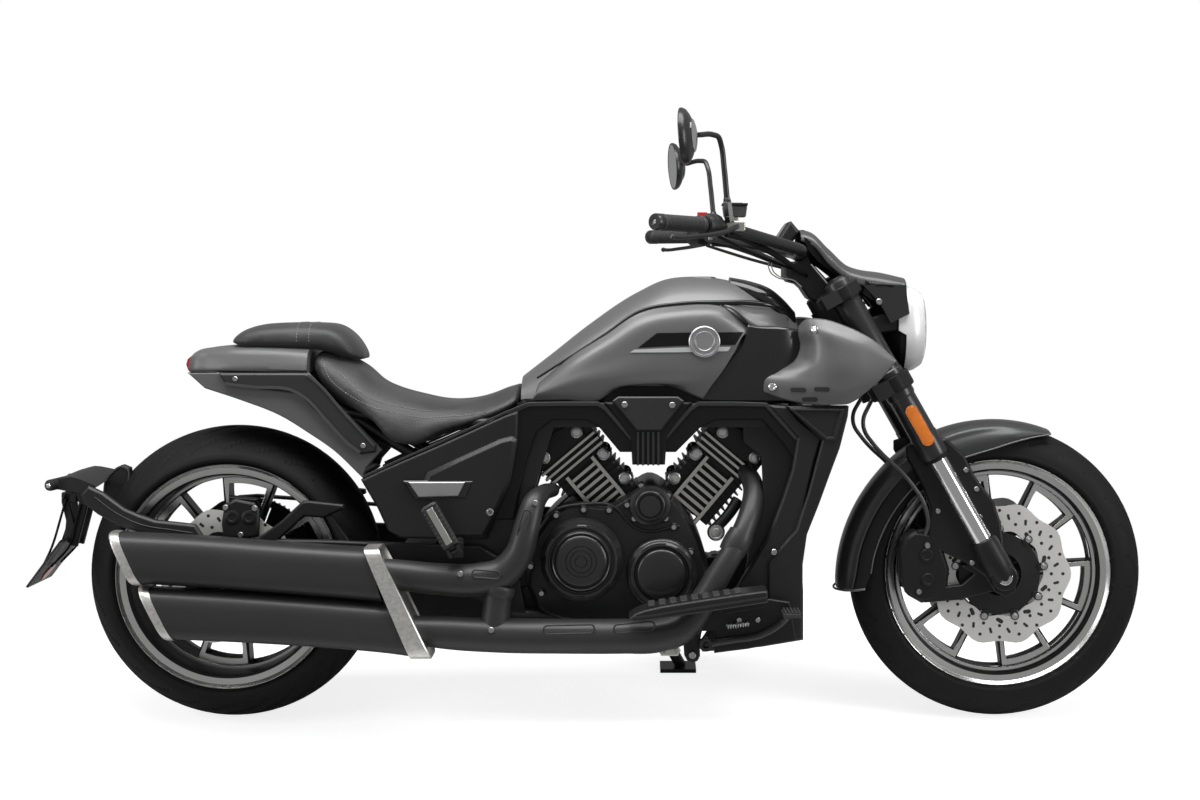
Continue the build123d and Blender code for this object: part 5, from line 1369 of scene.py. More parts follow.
# ---- Fork ----
# An upside-down fork: satin black outer tubes with a stepped collar and an orange reflector, chrome inner
# tubes, and cast black feet whose arms rise either side to carry the mudguard and reach back to the caliper.
RAKE = math.radians(29.5)
LEG_Y = -108


def fork_point(t, y=0.0, forward=0.0):
    """A point t mm up the fork line from the front axle, moved forward at right angles to it."""
    s, c = math.sin(RAKE), math.cos(RAKE)
    return (FRONT_AXLE_X - t * s + forward * c, y, FRONT_AXLE_Z + t * c + forward * s)


def on_fork(form, t, y=0.0):
    """A form drawn upright about the origin, leaned back along the fork line at t."""
    return moved(spun(form, math.degrees(RAKE)), fork_point(t, y))


def upright(profile, steps=48):
    """A profile of (radius, height) swept round the Z axis."""
    points, faces = turned(profile, steps)
    return np.column_stack([points[:, 0], points[:, 2], points[:, 1]]), faces


outer_profile = [
    (0, 436), (22, 436), (27.5, 434), (29.2, 431), (29.2, 214), (31.5, 211), (31.5, 152), (30, 148), (29, 146),
    (29, 60), (30.5, 56), (30.5, 8), (29, 4), (24, 2), (22, 2),
]
fork_black = finish("fork_satin_black", (0.020, 0.020, 0.0205), 0.30, coat=0.15, spread=0.08, grain=1800, relief=0.08)
outer = on_fork(upright(outer_profile), 292, LEG_Y)
twin("fork_outers", outer, fork_black, "fork_outer_tubes", "black_frame", sharp=30, body="steering")
amber = finish("amber_reflector", (0.85, 0.22, 0.02), 0.22, coat=0.6, spread=0.2, patch=60, grain=420, relief=0.5)
lens_rows = []
a = circle(40)
for size, high in ((13.5, 26), (13.5, 31.5), (12.6, 32.6), (11.0, 32.2), (10.2, 33.0), (6.0, 33.6), (0.5, 33.9)):
    long = 68 if size > 9.9 else 60
    z = size * np.sin(a) + np.sign(np.sin(a) + 1e-9) * long / 2
    lens_rows.append(np.stack([size * np.cos(a), 0 * a - high, z], -1))
reflector = on_fork(rings(lens_rows), 373, LEG_Y)
twin("fork_reflectors", reflector, amber, sharp=25, body="steering")
stanchion = on_fork(upright([(21.5, 84), (21.5, 296)], 48), 0, LEG_Y)
twin("fork_inner_tubes", stanchion, chrome, "fork_stanchions", "chrome_steel", body="steering")
seal = on_fork(upright([(22, 286), (27, 287), (28, 290), (28, 296)], 40), 0, LEG_Y)
twin("fork_seals", seal, rubber, body="steering")
foot_arm = [
    (1454, 594), (1506, 611), (1540, 613), (1559, 596), (1579, 577), (1602, 532), (1624, 502), (1643, 478),
    (1658, 431), (1665, 373), (1680, 336), (1692, 308), (1690, 283), (1667, 270), (1643, 283), (1624, 315),
    (1581, 345), (1538, 366), (1506, 386), (1499, 420), (1506, 463), (1491, 506), (1471, 545), (1454, 573),
]
yoke = moulding(foot_arm, -84, -100, 4)
socket = on_fork(
    upright([(0, -10), (24, -10), (30, 0), (31, 40), (30, 82), (27, 90), (23, 91), (22, 88)], 48), 0, LEG_Y,
)
boss = moved(turned([(12, -84), (26, -84), (29, -92), (29, -126), (26, -131), (12, -131)], 48), at_front)
lug = [
    (1626, 351), (1643, 283), (1570, 265), (1495, 259), (1467, 270), (1452, 308), (1458, 384), (1480, 416),
    (1506, 420), (1516, 377), (1527, 351), (1506, 326), (1510, 291), (1574, 298), (1600, 321), (1570, 338),
]
lug_form = moulding(lug, -82, -96, 3)
cast_black = finish(
    "cast_satin_black", (0.007, 0.007, 0.0075), 0.45, coat=0.05, shine=0.35, spread=0.14, patch=12, grain=1000,
    relief=0.35, edge=1.2,
)
feet = both(joined(yoke, socket, boss, lug_form))
piece("fork_foot_castings", feet, cast_black, "fork_feet", "black_frame", bevel=2.0, body="steering")
foot_spots = [(1582, 545), (1605, 504), (1612, 444), (1522, 457), (1500, 382), (1595, 346)]
bolted("fork_foot_bolts", foot_spots, 5.5, 3.5, -99, "steering")
nut = moved(turned([(9, -128), (13, -128), (13, -133.5), (11.5, -135), (7.4, -135), (7.4, -128)], 6), at_front)
nut_ring = moved(turned([(14, -128), (15.5, -130), (15.5, -131.6), (14, -132.4), (7.6, -132.4)], 40), at_front)
twin("front_axle_ends", joined(nut, nut_ring), chrome, body="steering")


def clamp(t, high, front, back):
    """A fork clamp: a rounded bridge between the tubes with a split collar round each."""
    ring = upright(
        [(28, -high / 2), (38, -high / 2), (40, -high / 2 + 3), (40, high / 2 - 3), (38, high / 2), (28, high / 2)],
        48,
    )
    collars = joined(on_fork(ring, t, LEG_Y), on_fork(ring, t, -LEG_Y))
    bridge = slab([(-back, -high / 2), (front, -high / 2), (front, high / 2), (-back, high / 2)], -100, 100)
    ear = slab([(-58, -high / 2 + 4), (-34, -high / 2), (-34, high / 2), (-58, high / 2 - 4)], -122, -92)
    return joined(collars, on_fork(bridge, t), both(on_fork(ear, t)))


piece(
    "fork_clamp_castings", joined(clamp(474.4, 36, 22, 46), clamp(697, 30, 20, 46)), cast_black, slot="black_frame",
    bevel=2.5, body="steering",
)
clamp_spots = [(1386, 728), (1396, 709), (1294, 901)]
bolted("fork_clamp_bolts", clamp_spots, 5.5, 4, -122, "steering")

# ---- Front brakes ----
# A black cast four-piston caliper behind each leg, bolted to its foot, with two round caps on its face.
cal_outline = [
    (1451, 399), (1473, 414), (1505, 410), (1531, 384), (1548, 331), (1543, 288), (1522, 266), (1488, 258),
    (1458, 275), (1440, 320), (1440, 369),
]
caliper = joined(moulding(cal_outline, -76, -98, 7), moulding(cal_outline, -60, -46, 6))
bridge_out = [(1448, 394), (1468, 406), (1472, 318), (1448, 325)]
caliper = joined(caliper, slab(bridge_out, -92, -46))
twin("front_caliper_bodies", caliper, cast_black, "front_calipers", "dark_steel", bevel=2.0, body="steering")
pots = at_each(turned([(15, 0), (15, -3), (13, -5), (9, -5), (8, -4), (0, -4)], 32), ((1498, 361), (1501, 309)), -97)
twin("front_caliper_pots", pots, cast_black, body="steering")
bolted("front_caliper_bolts", [(1481, 284), (1499, 384)], 6, 5, -98, "steering")

# ---- Headlight ----
# A silver painted bezel with a square tab back along each side, round a clear domed lens. A black housing holds it,
# and a bracket each side reaches back to the upper fork clamp.
HEAD = np.array([1289.3, 0.0, 892.0])
bezel_half = [
    (0, 50), (34, 49), (60, 41), (80, 22), (92, -8), (97, -44), (92, -82), (78, -110), (54, -130), (28, -139),
    (0, -140),
]


def lamp_ring(x, size):
    """The lamp's cross section at x, drawn in to a share of its size, as one closed ring."""
    line = through(bezel_half, 34)
    ring = np.concatenate([line, line[-2:0:-1] * (-1, 1)])
    ring = (ring - (0, -47)) * (size, size) + (0, -47)
    return np.insert(ring, 0, x, axis=1)


rows = [
    lamp_ring(x, k)
    for x, k in (
        (172, 0.94), (166, 0.97), (167, 0.99), (179, 0.985), (190, 0.95), (200, 0.885), (206, 0.84), (208, 0.82),
        (206, 0.80), (198, 0.79),
    )
]
tab = (rows[1][:, 2] > -56) & (rows[1][:, 2] < -2) & (np.abs(rows[1][:, 1]) > 50)
for n in (0, 1, 2):
    rows[n][tab, 0] -= 17
silver_shell = finish(
    "headlight_silver", (0.90, 0.90, 0.90), 0.34, metal=0.1, coat=0.4, spread=0.04, grain=2400, relief=0.04,
)
piece(
    "headlight_bezel", moved(rings(rows, caps=False), HEAD), silver_shell, "headlight", "polished_alloy", sharp=28,
    body="steering",
)
housing_rows = [
    lamp_ring(x, k)
    for x, k in ((92, 0.30), (98, 0.46), (118, 0.62), (140, 0.80), (155, 0.90), (176, 0.92), (190, 0.88))
]
piece(
    "headlight_housing", moved(rings(housing_rows), HEAD), cast_black, slot="black_plastic", sharp=24,
    body="steering",
)
lens_rows = [
    lamp_ring(x, k)
    for x, k in ((204, 0.805), (208, 0.79), (212, 0.72), (215, 0.58), (217, 0.4), (218, 0.2), (218.3, 0.02))
]
clear, glass, spot = material("lens_clear")
speck = glass.node("ShaderNodeTexNoise", values={"Vector": spot, "Scale": 40.0})
shine_of(glass, {
    "Base Color": (0.95, 0.96, 0.97, 1), "Transmission Weight": 1.0, "Roughness": speck * 0.03 + 0.02, "IOR": 1.46,
})
piece("headlight_lens", moved(rings(lens_rows, caps=False), HEAD), clear, sharp=60, wall=1.5, body="steering")
reflect = finish("lamp_reflector", (0.80, 0.80, 0.81), 0.12, metal=1.0, spread=0.06, patch=60, grain=300, relief=0.05)


def forward(form, x, y, z):
    """A form turned about the Y axis, set to face forward at a place given from the top of the steering head."""
    points, faces = form
    return np.column_stack([-points[:, 1], points[:, 0], points[:, 2]]) + HEAD + (x, y, z), faces


def lamp_pair(profile, steps):
    """A turned form at the middle of each of the two round lamps, one above the other."""
    return joined(*[forward(turned(profile, steps), 180, 0, z) for z in (-16, -80)])


bowls = lamp_pair([(6, 6), (14, 4), (24, -4), (28, -14), (29, -16), (27, -16)], 48)
piece("headlight_bowls", bowls, reflect, sharp=40, body="steering")
beads = lamp_pair([(0, -9), (7, -8), (10, -4), (11, 0), (11, 4), (0, 4)], 32)
piece("headlight_projectors", beads, clear, sharp=40, body="steering")
ring_light = lamp_pair([(36, -18), (39, -19), (40, -16), (37, -15)], 64)
day_glow = finish("daylight_ring", (0.9, 0.9, 0.88), 0.4)
piece("headlight_rings", ring_light, day_glow, body="steering")
back_plate = [lamp_ring(x, k) for x, k in ((186, 0.79), (190, 0.79), (190.5, 0.74), (187, 0.70))]
piece("headlight_back", moved(rings(back_plate), HEAD), gloss_black, sharp=30, body="steering")
lamp_bracket = [
    (1371, 950), (1446, 944), (1453, 929), (1455, 905), (1438, 893), (1425, 895), (1414, 888),
    (1397, 895), (1380, 918),
]
bracket_pair = joined(
    moulding(lamp_bracket, -88, -103, 3), slab([(1367, 953), (1380, 948), (1384, 910), (1363, 927)], -96, -70),
)
twin("headlight_brackets", bracket_pair, cover_black, bevel=1.5, body="steering")
# A near-black patch on each bracket marks its slot: painted shade in the slot's recess.
dark_slot = moulding([(1382, 945), (1429, 943), (1425, 935), (1386, 938)], -100, -104, 0.8)
twin("headlight_bracket_slots", dark_slot, painted_shade_fill, body="steering")
bolted("headlight_bolts", [(1395, 906)], 6.5, 3, -103, "steering")
low_hooks = [(1377, 871), (1412, 882), (1438, 884), (1440, 845), (1399, 837), (1382, 847)]
twin("headlight_mounts", moulding(low_hooks, -74, -92, 3), cast_black, bevel=1.0, body="steering")

# ---- Fly screen ----
# A small satin cowl over the lamp: its blade climbs back from the bezel to the display, folded down each side.
screen_rows = [
    (-59, 0, 171, 34, 170, 58, 166, 72, 157, 76, 146), (-40, 0, 168, 38, 167, 62, 162, 78, 150, 80, 138),
    (4, 0, 130, 42, 129, 70, 122, 88, 106, 90, 90), (49, 0, 91, 44, 90, 72, 85, 92, 70, 94, 56),
    (64, 0, 86, 44, 85, 72, 80, 92, 67, 95, 50), (120, 0, 77, 42, 76, 66, 71, 86, 60, 92, 44),
    (168, 0, 66, 40, 65, 62, 61, 80, 51, 85, 40),
]
sheet = []
for x, *half in screen_rows:
    line = through(np.reshape(half, (-1, 2)), 22)
    line = np.concatenate([line[::-1] * (-1, 1), line[1:]])
    sheet.append(np.insert(line, 0, x, axis=1))
sheet = lengthwise(np.stack(sheet), 60) + HEAD
screen_skin = finish(
    "fly_screen_grey", (0.085, 0.085, 0.086), 0.36, metal=0.3, coat=0.15, spread=0.06, grain=2200, relief=0.08,
)
piece(
    "fly_screen_blade", grid_form(sheet), screen_skin, "headlight_cowl", "dark_paint", sharp=32, wall=3.5,
    body="steering",
)
under = [
    (1237, 1046), (1255, 1033), (1298, 992), (1337, 964), (1384, 944), (1382, 914), (1363, 929), (1322, 951),
    (1268, 992), (1244, 1018),
]
twin("fly_screen_inner", slab(under, -80, -74), deep_black, bevel=1.0, body="steering")
stay = [(1225, -40, 1056), (1238, -44, 1058), (1248, -48, 1051), (1252, -50, 1031), (1252, -50, 1005)]
twin("fly_screen_stays", tube(stay, [4, 4, 4, 4, 4], 30, 12), deep_black, body="steering")

# ---- Display and riser ----
# A black moulded riser carries the bar; the boxed display stands ahead of it, its dark screen turned up to the rider.
screen_box = [(-115, 139), (-84, 187), (-78, 189), (-62, 170), (-60, 164), (-84, 130), (-90, 128)]
box_rows = [
    (inset(screen_box, 7), -55), (inset(screen_box, 2), -52.5), (screen_box, -48), (screen_box, 48),
    (inset(screen_box, 2), 52.5), (inset(screen_box, 7), 55),
]
piece(
    "display_case", moved(layered(box_rows), HEAD), cover_black, "bar_riser", "black_plastic", sharp=25,
    body="steering",
)
away = np.array([-0.84, 0.543])
face = np.array([[-111.5, 146], [-87, 183.5]])
glass_face = np.concatenate([face + away * 0.6, (face - away * 2)[::-1]])
screen_glass = finish("display_glass", (0.012, 0.013, 0.015), 0.08, coat=1.0, spread=0.2, patch=3, relief=0.0)
piece("display_glass", moved(slab(glass_face, -46, 46), HEAD), screen_glass, bevel=0.6, body="steering")
riser_outline = [
    (-93, 70), (-93, 92), (-88, 100), (-60, 103), (-45, 117), (-38, 117), (-27, 93), (17, 45), (2, 10), (-20, 11),
    (-40, 22), (-60, 52), (-84, 58),
]
piece(
    "riser_cover", moved(rounded(riser_outline, -44, 44, 4, 4), HEAD), cover_black, slot="black_plastic", bevel=1.5,
    body="steering",
)
# A thin bright strip along the riser's lower left contour, each side: a painted highlight where its rounded edge
# catches the light.
painted_highlight_line = [(1172, 1001), (1169, 986), (1174, 971), (1190, 959), (1218, 952), (1235, 938)]
twin("riser_edges", strip_along(through(painted_highlight_line, 30), 1.2, -41, -45), machined, body="steering")
rod = [(1255, -48, 988), (1294, -48, 942)]
twin(
    "riser_rods", tube([rod[0], (np.array(rod[0]) + rod[1]) / 2, rod[1]], [3.4, 3.4, 3.4], 10, 14), chrome,
    body="steering",
)
stem_nut = on_fork(moved(upright([(0, 732), (9, 732), (20, 729), (22, 724), (22, 716), (0, 716)], 6), (-40, 0, 0)), 0)
piece("steering_stem_nut", stem_nut, chrome, bevel=0.6, body="steering")
fork_caps = on_fork(upright([(0, 441), (13, 441), (15, 439), (24, 438), (26, 434), (0, 434)], 32), 292, LEG_Y)
twin("fork_top_caps", fork_caps, cast_black, sharp=30, body="steering")

# ---- Bar, grips and controls ----
# A wide black bar bent back to ribbed rubber grips, a two-part switch box inside each, a square fluid cup on the
# right, and a lever in front of either hand. Cables run back along the bar in a loose bundle.
BAR_MID, BAR_END = HEAD + (-239, -292, 168), HEAD + (-375, -432, 171)
ALONG = (BAR_END - BAR_MID) / np.linalg.norm(BAR_END - BAR_MID)


def spindle(profile, start, end, steps=40):
    """A profile of (radius, along) swept round the line that runs from start towards end."""
    a, b = np.array(start, float), np.array(end, float)
    axis = (b - a) / np.linalg.norm(b - a)
    side = np.cross(axis, (0, 0, 1.0) if abs(axis[2]) < 0.9 else (1.0, 0, 0))
    side /= np.linalg.norm(side)
    up = np.cross(side, axis)
    t = circle(steps)[:, None]
    return rings([a + axis * l + r * (np.cos(t) * side + np.sin(t) * up) for r, l in profile])


grip_line = [(13, 62), (17, 62), (17, 66), (15.6, 67.5)]
for n in range(27):
    at = 69 + n * 4.0
    grip_line += [(15.4, at), (16.4, at + 0.6), (16.4, at + 2.8), (15.4, at + 3.4)]
grip_line += [(16.0, 178), (17, 179), (17, 186), (15.5, 187)]
grip_rubber = finish("grip_rubber", (0.036, 0.036, 0.0365), 0.55, spread=0.15, patch=20, grain=1500, relief=0.3)
twin(
    "grip_rubbers", spindle(grip_line, BAR_MID, BAR_END, 48), grip_rubber, "grips", "rubber", sharp=40,
    body="steering",
)
bar_cap = [(14, 187), (16.6, 188), (16.9, 190), (16.9, 200), (15.6, 203), (7, 203), (6, 201.5), (0, 201.5)]
twin("bar_end_caps", spindle(bar_cap, BAR_MID, BAR_END), fork_black, sharp=25, body="steering")
bar_screw = spindle([(4.6, 201), (4.6, 202.6), (3.8, 203), (2.4, 203), (2.4, 202), (0, 202)], BAR_MID, BAR_END, 24)
twin("bar_end_screws", bar_screw, steel_bolt, sharp=25, body="steering")
switch_line = [
    (12.8, 17), (20, 17), (23, 19), (24.5, 24), (24.5, 37), (23.8, 37.4), (23.8, 38.6), (24.5, 39), (24.5, 52),
    (23, 57), (19, 59), (12.8, 59),
]
twin(
    "switch_boxes", spindle(switch_line, BAR_MID, BAR_END, 14), cover_black, "bar_controls", "black_plastic",
    bevel=1.8, body="steering",
)
red = finish("kill_switch_red", (0.62, 0.03, 0.035), 0.35, coat=0.4)
housing = moved(block_form(-15, 13, -11, 11, -4, 7), BAR_MID + ALONG * 56 + (-2, 4, 12))
piece("kill_switch_box", housing, cover_black, slot="black_plastic", bevel=3.0, body="steering")
kill = moved(block_form(-10, 10, -7, 7, 0, 9), BAR_MID + ALONG * 56 + (-4, 4, 17))
piece("kill_switch", kill, red, bevel=1.6, body="steering")
rockers = joined(
    *[
        moved(block_form(-4, 4, -5, 5, 0, 4), BAR_MID * (1, s, 1) + ALONG * (1, s, 1) * d + (-10, 12 * s, 18))
        for s, d in ((-1, 27), (-1, 40), (1, 27))
    ]
)
piece("switch_rockers", rockers, deep_black, bevel=1.0, body="steering")
cup = moved(slab([(-236, 187), (-192, 187), (-189, 209), (-239, 209)], -299, -263), HEAD)
piece("brake_cup", cup, screen_skin, bevel=2.0, body="steering")
lid = joined(
    moved(block_form(-240, -188, -300.5, -261.5, 210, 215), HEAD),
    moved(block_form(-230, -198, -290, -272, 215, 216.4), HEAD),
)
piece("brake_cup_lid", lid, cover_black, bevel=1.4, body="steering")
perch = moved(
    joined(block_form(-244, -193, -300, -270, 158, 178), block_form(-222, -206, -296, -274, 178, 188)), HEAD,
)
twin("lever_perches", perch, machined, slot="polished_alloy", bevel=2.5, body="steering")
lever_path = [
    HEAD + p
    for p in (
        (-209, -300, 168), (-232, -336, 156), (-266, -374, 148), (-312, -424, 142), (-336, -450, 140),
        (-346, -462, 141),
    )
]
lever = tube(lever_path, [5.4, 5.2, 4.6, 4.2, 4.2, 4.6], 50, 16)
ball = spindle(
    [(0, -6), (3.5, -5), (5, -3), (5.6, 0), (5, 3), (3.5, 4.6), (0, 5)], lever_path[-1],
    lever_path[-1] + (lever_path[-1] - lever_path[-2]), 24,
)
twin("hand_levers", joined(lever, ball), fork_black, sharp=40, body="steering")
cable_ends = [
    ((-232, -300, 150), (-54, -38, 76), 5.0), ((-222, -288, 152), (-44, -44, 70), 4.2),
    ((-246, -296, 146), (-62, -34, 82), 3.6),
]
cables = []
for n, (start, end, radius) in enumerate(cable_ends):
    start, end = HEAD + start, HEAD + end
    middle = [start + (end - start) * t + (0, 6 * n, (15 - 9 * n) * math.sin(math.pi * t)) for t in (0.25, 0.5, 0.75)]
    cables.append(tube([start, *middle, end], [radius] * 5, 60, 12))
twin("bar_cables", joined(*cables), rubber, sharp=60, body="steering")

# ---- Mirrors ----
# Round black mirrors on slim bent stems: a domed back with a bright cap, and a flat glass inside a thin rim that
# turns a little in towards the rider.
mirror_at, mirror_axis = HEAD + (-314, -408, 342), np.array([0.984, -0.16, 0.07])
dome = [
    (0, 17), (10, 16.5), (14, 15), (30, 12), (44, 6), (53, 0), (56.5, -6), (57, -10), (56, -12), (53.5, -12),
    (53.5, -10.5), (0, -10.5),
]
mirror_shell = spindle(dome, mirror_at, mirror_at + mirror_axis, 64)
twin("mirror_shells", mirror_shell, fork_black, "mirrors", "black_plastic", sharp=30, body="steering")
cap_line = [(0, 19.5), (8, 19), (20, 17), (30, 14.2), (33, 12.4), (32, 10.5), (0, 10.5)]
twin("mirror_back_caps", spindle(cap_line, mirror_at, mirror_at + mirror_axis, 56), chrome, sharp=35, body="steering")
mirror_glass = finish("mirror_glass", (0.78, 0.80, 0.82), 0.04, metal=1.0, spread=0.02, relief=0.0)
glass_disc = spindle([(0, -11.4), (52.8, -11.4), (53.3, -10.8), (0, -10.6)], mirror_at, mirror_at + mirror_axis, 64)
twin("mirror_glasses", glass_disc, mirror_glass, body="steering")
stem_path = [
    HEAD + p
    for p in (
        (-225, -298, 176), (-230, -303, 215), (-237, -311, 285), (-243, -318, 330), (-249, -328, 346),
        (-262, -346, 350), (-292, -384, 346),
    )
]
stem = tube(stem_path, [6.2, 6, 5.8, 5.6, 5.6, 5.6, 5.4], 90, 20)
sleeve = spindle(
    [(6, 0), (10.5, 0), (11, 3), (11, 12), (9.8, 13), (9.8, 40), (7.6, 50), (6, 51)], stem_path[0], stem_path[1], 6,
)
twin("mirror_stems", joined(stem, sleeve), fork_black, sharp=45, body="steering")

# ---- Tail ----
# A painted tail cowl over a tall lower fender, with a darker ridged strip bolted on each side, a red lamp strip
# across the back, and a small black lip under it.
TAIL_FLOOR_Z = 754.034
tail_grey = finish(
    "tail_matt_grey", (0.125, 0.125, 0.126), 0.42, metal=0.1, coat=0.1, spread=0.06, patch=4, grain=2200, relief=0.08,
)
tail_half = [
    (-94, 0, 35, 24, 34.8, 42, 33, 56, 27, 63, 17, 66, 4, 60, 1, 30, 1, 0, 1),
    (-84, 0, 44, 28, 43.6, 52, 40, 70, 32, 76, 18, 77, 4, 70, 1, 34, 1, 0, 1),
    (-48, 0, 53, 30, 52.8, 60, 49, 80, 40, 87, 24, 90, 4, 82, 1, 40, 1, 0, 1),
    (-10, 0, 57, 34, 56.9, 70, 54, 92, 45, 100, 28, 104, 4, 96, 1, 44, 1, 0, 1),
    (100, 0, 57.5, 40, 57.4, 84, 55, 108, 46, 117, 28, 121, 4, 112, 1, 50, 1, 0, 1),
    (172, 0, 52, 40, 51.9, 88, 50, 113, 41, 122, 25, 127, 4, 118, 1, 52, 1, 0, 1),
]
tail = moved(hull(tail_half, 50, 40), (0, 0, TAIL_FLOOR_Z))
piece("tail_shell", tail, tail_grey, "tail_cowl", "dark_paint", sharp=38)
red_lens = finish("tail_lens_red", (0.55, 0.012, 0.02), 0.18, coat=0.8, spread=0.25, patch=80, grain=260, relief=0.4)
lens_rows = []
for y in np.linspace(-58, 58, 41):
    bow = 7 * (y / 58) ** 2
    lens_rows.append(
        [
            (-93 + bow, y, 4), (-93 + bow, y, 33), (-98 + bow, y, 33), (-105 + bow, y, 27), (-108 + bow, y, 16),
            (-104 + bow, y, 4),
        ]
    )
piece("tail_lens", moved(rings(lens_rows), (0, 0, TAIL_FLOOR_Z)), red_lens, "tail_lamp", "red_lamp", sharp=30)
lip_rows = [
    [(-106 + 8 * (y / 60) ** 2, y, -3), (-60, y, 2), (-60, y, -8), (-98 + 8 * (y / 60) ** 2, y, -6)]
    for y in np.linspace(-60, 60, 21)
]
piece("tail_under_lip", moved(rings(lip_rows), (0, 0, TAIL_FLOOR_Z)), cover_black, bevel=1.0)
arc = [(360.9, 35.9), (355.5, 50.3), (355.0, 60.0), (364.0, 71.2), (380.0, 85.4), (406.0, 96.3)]
inner_edge = [(r * math.cos(math.radians(a)), REAR_AXLE_Z + r * math.sin(math.radians(a))) for r, a in arc]
inner_edge = [tuple(p) for p in through(inner_edge, 24)]
fender_outline = [
    (-81, TAIL_FLOOR_Z), (177, TAIL_FLOOR_Z + 0.5), (250, TAIL_FLOOR_Z - 78), (334, TAIL_FLOOR_Z - 164),
    (300, TAIL_FLOOR_Z - 202),
] + inner_edge
fender = moulding(fender_outline, -119, -128, 2.0)
arch_rows = [[(x, y, z) for x, z in inner_edge] for y in np.linspace(-124, 124, 9)]
twin("fender_sides", fender, tail_grey, "rear_fender", "dark_paint", bevel=1.0)
piece("fender_arch", grid_form(np.array(arch_rows, float)), cover_black, slot="black_plastic", wall=-6.0)
strip_outline = [
    (-14, 0), (60, 0.2), (172, 0), (190, -10), (250, -76), (322, -154), (320, -168), (288, -173), (270, -161),
    (166, -54), (150, -43), (2, -26),
]
strip = moved(moulding(strip_outline, -126, -136, 4), (0, 0, TAIL_FLOOR_Z))
twin("tail_strips", strip, cover_soft, slot="black_plastic", bevel=1.0)
ridge = moved(
    strip_along(
        through([(0, -22), (60, -29), (148, -38), (164, -47), (220, -104), (268, -154), (288, -168)], 60), 3.0, -130,
        -139.5,
    ),
    (0, 0, TAIL_FLOOR_Z),
)
ridge_top = moved(
    strip_along(through([(176, -4), (196, -20), (250, -80), (318, -154)], 30), 2.4, -130, -138.5),
    (0, 0, TAIL_FLOOR_Z),
)
twin("tail_strip_ridges", joined(ridge, ridge_top), screen_skin, sharp=40)
bolted("tail_bolts", [(22, 742), (294, 600)], 5.5, 3.0, -136)

# ---- Seat stitching and tag ----
# Two rows of pale thread run round the rider's dished seat. The pad has two rows across it, and a bare metal tag
# at its front.


def laid(line, cushion, lift=0.6):
    """Upright points moved onto a cushion's finished surface, in upright millimetres, lifted a little."""
    made = cushion.evaluated_get(bpy.context.evaluated_depsgraph_get())
    spots = []
    for before, after in zip(np.asarray(line, float), lean(np.asarray(line, float))):
        found, place, normal, _ = made.closest_point_on_mesh(after.tolist())
        spots.append(before + unlean(np.array(place) + np.array(normal) * lift / 1000 - after))
    return np.array(spots)


def unlean(step):
    """A step in the leaning machine's metres, as upright millimetres."""
    s, c = math.sin(LEAN), math.cos(LEAN)
    return np.array([step[0], c * step[1] + s * step[2], -s * step[1] + c * step[2]]) * 1000


rows = []
for seam in (
    [
        (201, -100, 794), (218, -128, 750), (275, -140, 702), (346, -144, 674), (414, -145, 662), (483, -140, 670),
        (550, -128, 686),
    ],
    [(240, -118, 767), (274, -130, 727), (321, -134, 699), (390, -136, 682), (459, -132, 680)],
):
    rows.append(stitches(laid(through(seam, 60), seat), 6.5, 4.6, 0.7))
twin("seat_stitching", joined(*rows), thread)
rows = []
for x in (146, 172):
    arch = [(x, -104, 824), (x, -98, 842), (x, -70, 862), (x, -35, 868), (x, 0, 868)]
    rows.append(stitches(laid(through(arch, 40), pad), 6.5, 4.6, 0.6))
twin("pad_stitching", joined(*rows), thread)
pad_tag = moved(spun(block_form(-8, 8, -13, 13, -1, 1.6), -68), (263, -30, 801))
piece("pad_tag", pad_tag, badge_skin, bevel=0.8)

# ---- Plate holder ----
# A black moulded hugger that rides on the swingarm: one arm low on the right, a curved plate over the tyre's back,
# and a hanging bracket with the plate, its small lamp, a round reflector and the rear indicators.
PLATE = np.array([-367.0, 0.0, 527.934])
arm_line = [
    (-40, 412), (-56, 436), (-100, 441), (-140, 445), (-175, 457), (-205, 470), (-250, 503), (-282, 518), (-298, 500),
    (-290, 480), (-262, 457), (-215, 432), (-150, 410), (-62, 398),
]
hugger_arm = moulding(arm_line, -152, -168, 5)
groove = strip_along(through([(-268, 494), (-225, 462), (-170, 436), (-100, 424), (-60, 418)], 50), 1.6, -160, -169.2)
piece("hugger_arm", joined(hugger_arm, groove), cover_black, "plate_holder", "black_plastic", bevel=2.0)
right_edge = np.array([(100, -14), (70, 0), (42, 7), (18, 2), (0, -6), (-2, -14), (20, -20), (72, -28)], float)
left_edge = np.array([(100, 2), (70, 9), (42, 13), (18, 8), (0, 0), (-2, -10), (20, -14), (72, -16)], float)
sheets = []
for share in np.linspace(0, 1, 9):
    section = right_edge * (1 - share) + left_edge * share
    sheets.append(np.column_stack([section[:, 0], np.full(8, -150 + 190 * share), section[:, 1]]))
hugger_plate = rings([through(np.array(s), 30) for s in sheets])
piece("hugger_plate", moved(hugger_plate, PLATE), cover_black, sharp=30)
lobe = [(-281, 489), (-276, 517), (-261, 539), (-242, 552), (-225, 545), (-223, 520), (-233, 489), (-250, 465)]
piece("hugger_lobe", moulding(lobe, -30, -62, 4), cover_black, bevel=1.5)
lobe_rim = strip_along(
    through([(-278, 492), (-274, 518), (-260, 537), (-241, 549), (-227, 543), (-225, 520), (-234, 492)], 50), 1.6,
    -58, -64.5,
)
piece("hugger_lobe_rim", lobe_rim, screen_skin)
hanger = [
    (0, 2), (34, 2), (46, -58), (20, -158), (4, -154), (24, -62), (14, -30), (4, -60), (16, -110), (6, -150),
    (-8, -146), (-4, -100), (-14, -60), (0, -20),
]
hanger_form = both(moulding(hanger, -18, -30, 2))
cross = joined(*[spindle([(5, -20), (5, 20)], (x, 0, z), (x, 1, z), 20) for x, z in ((22, -8), (36, -58), (8, -146))])
piece("plate_hanger", moved(joined(hanger_form, cross), PLATE), cover_black, bevel=1.0)
blade = [(4, -140), (0, -136), (-74, -236), (-70, -239)]
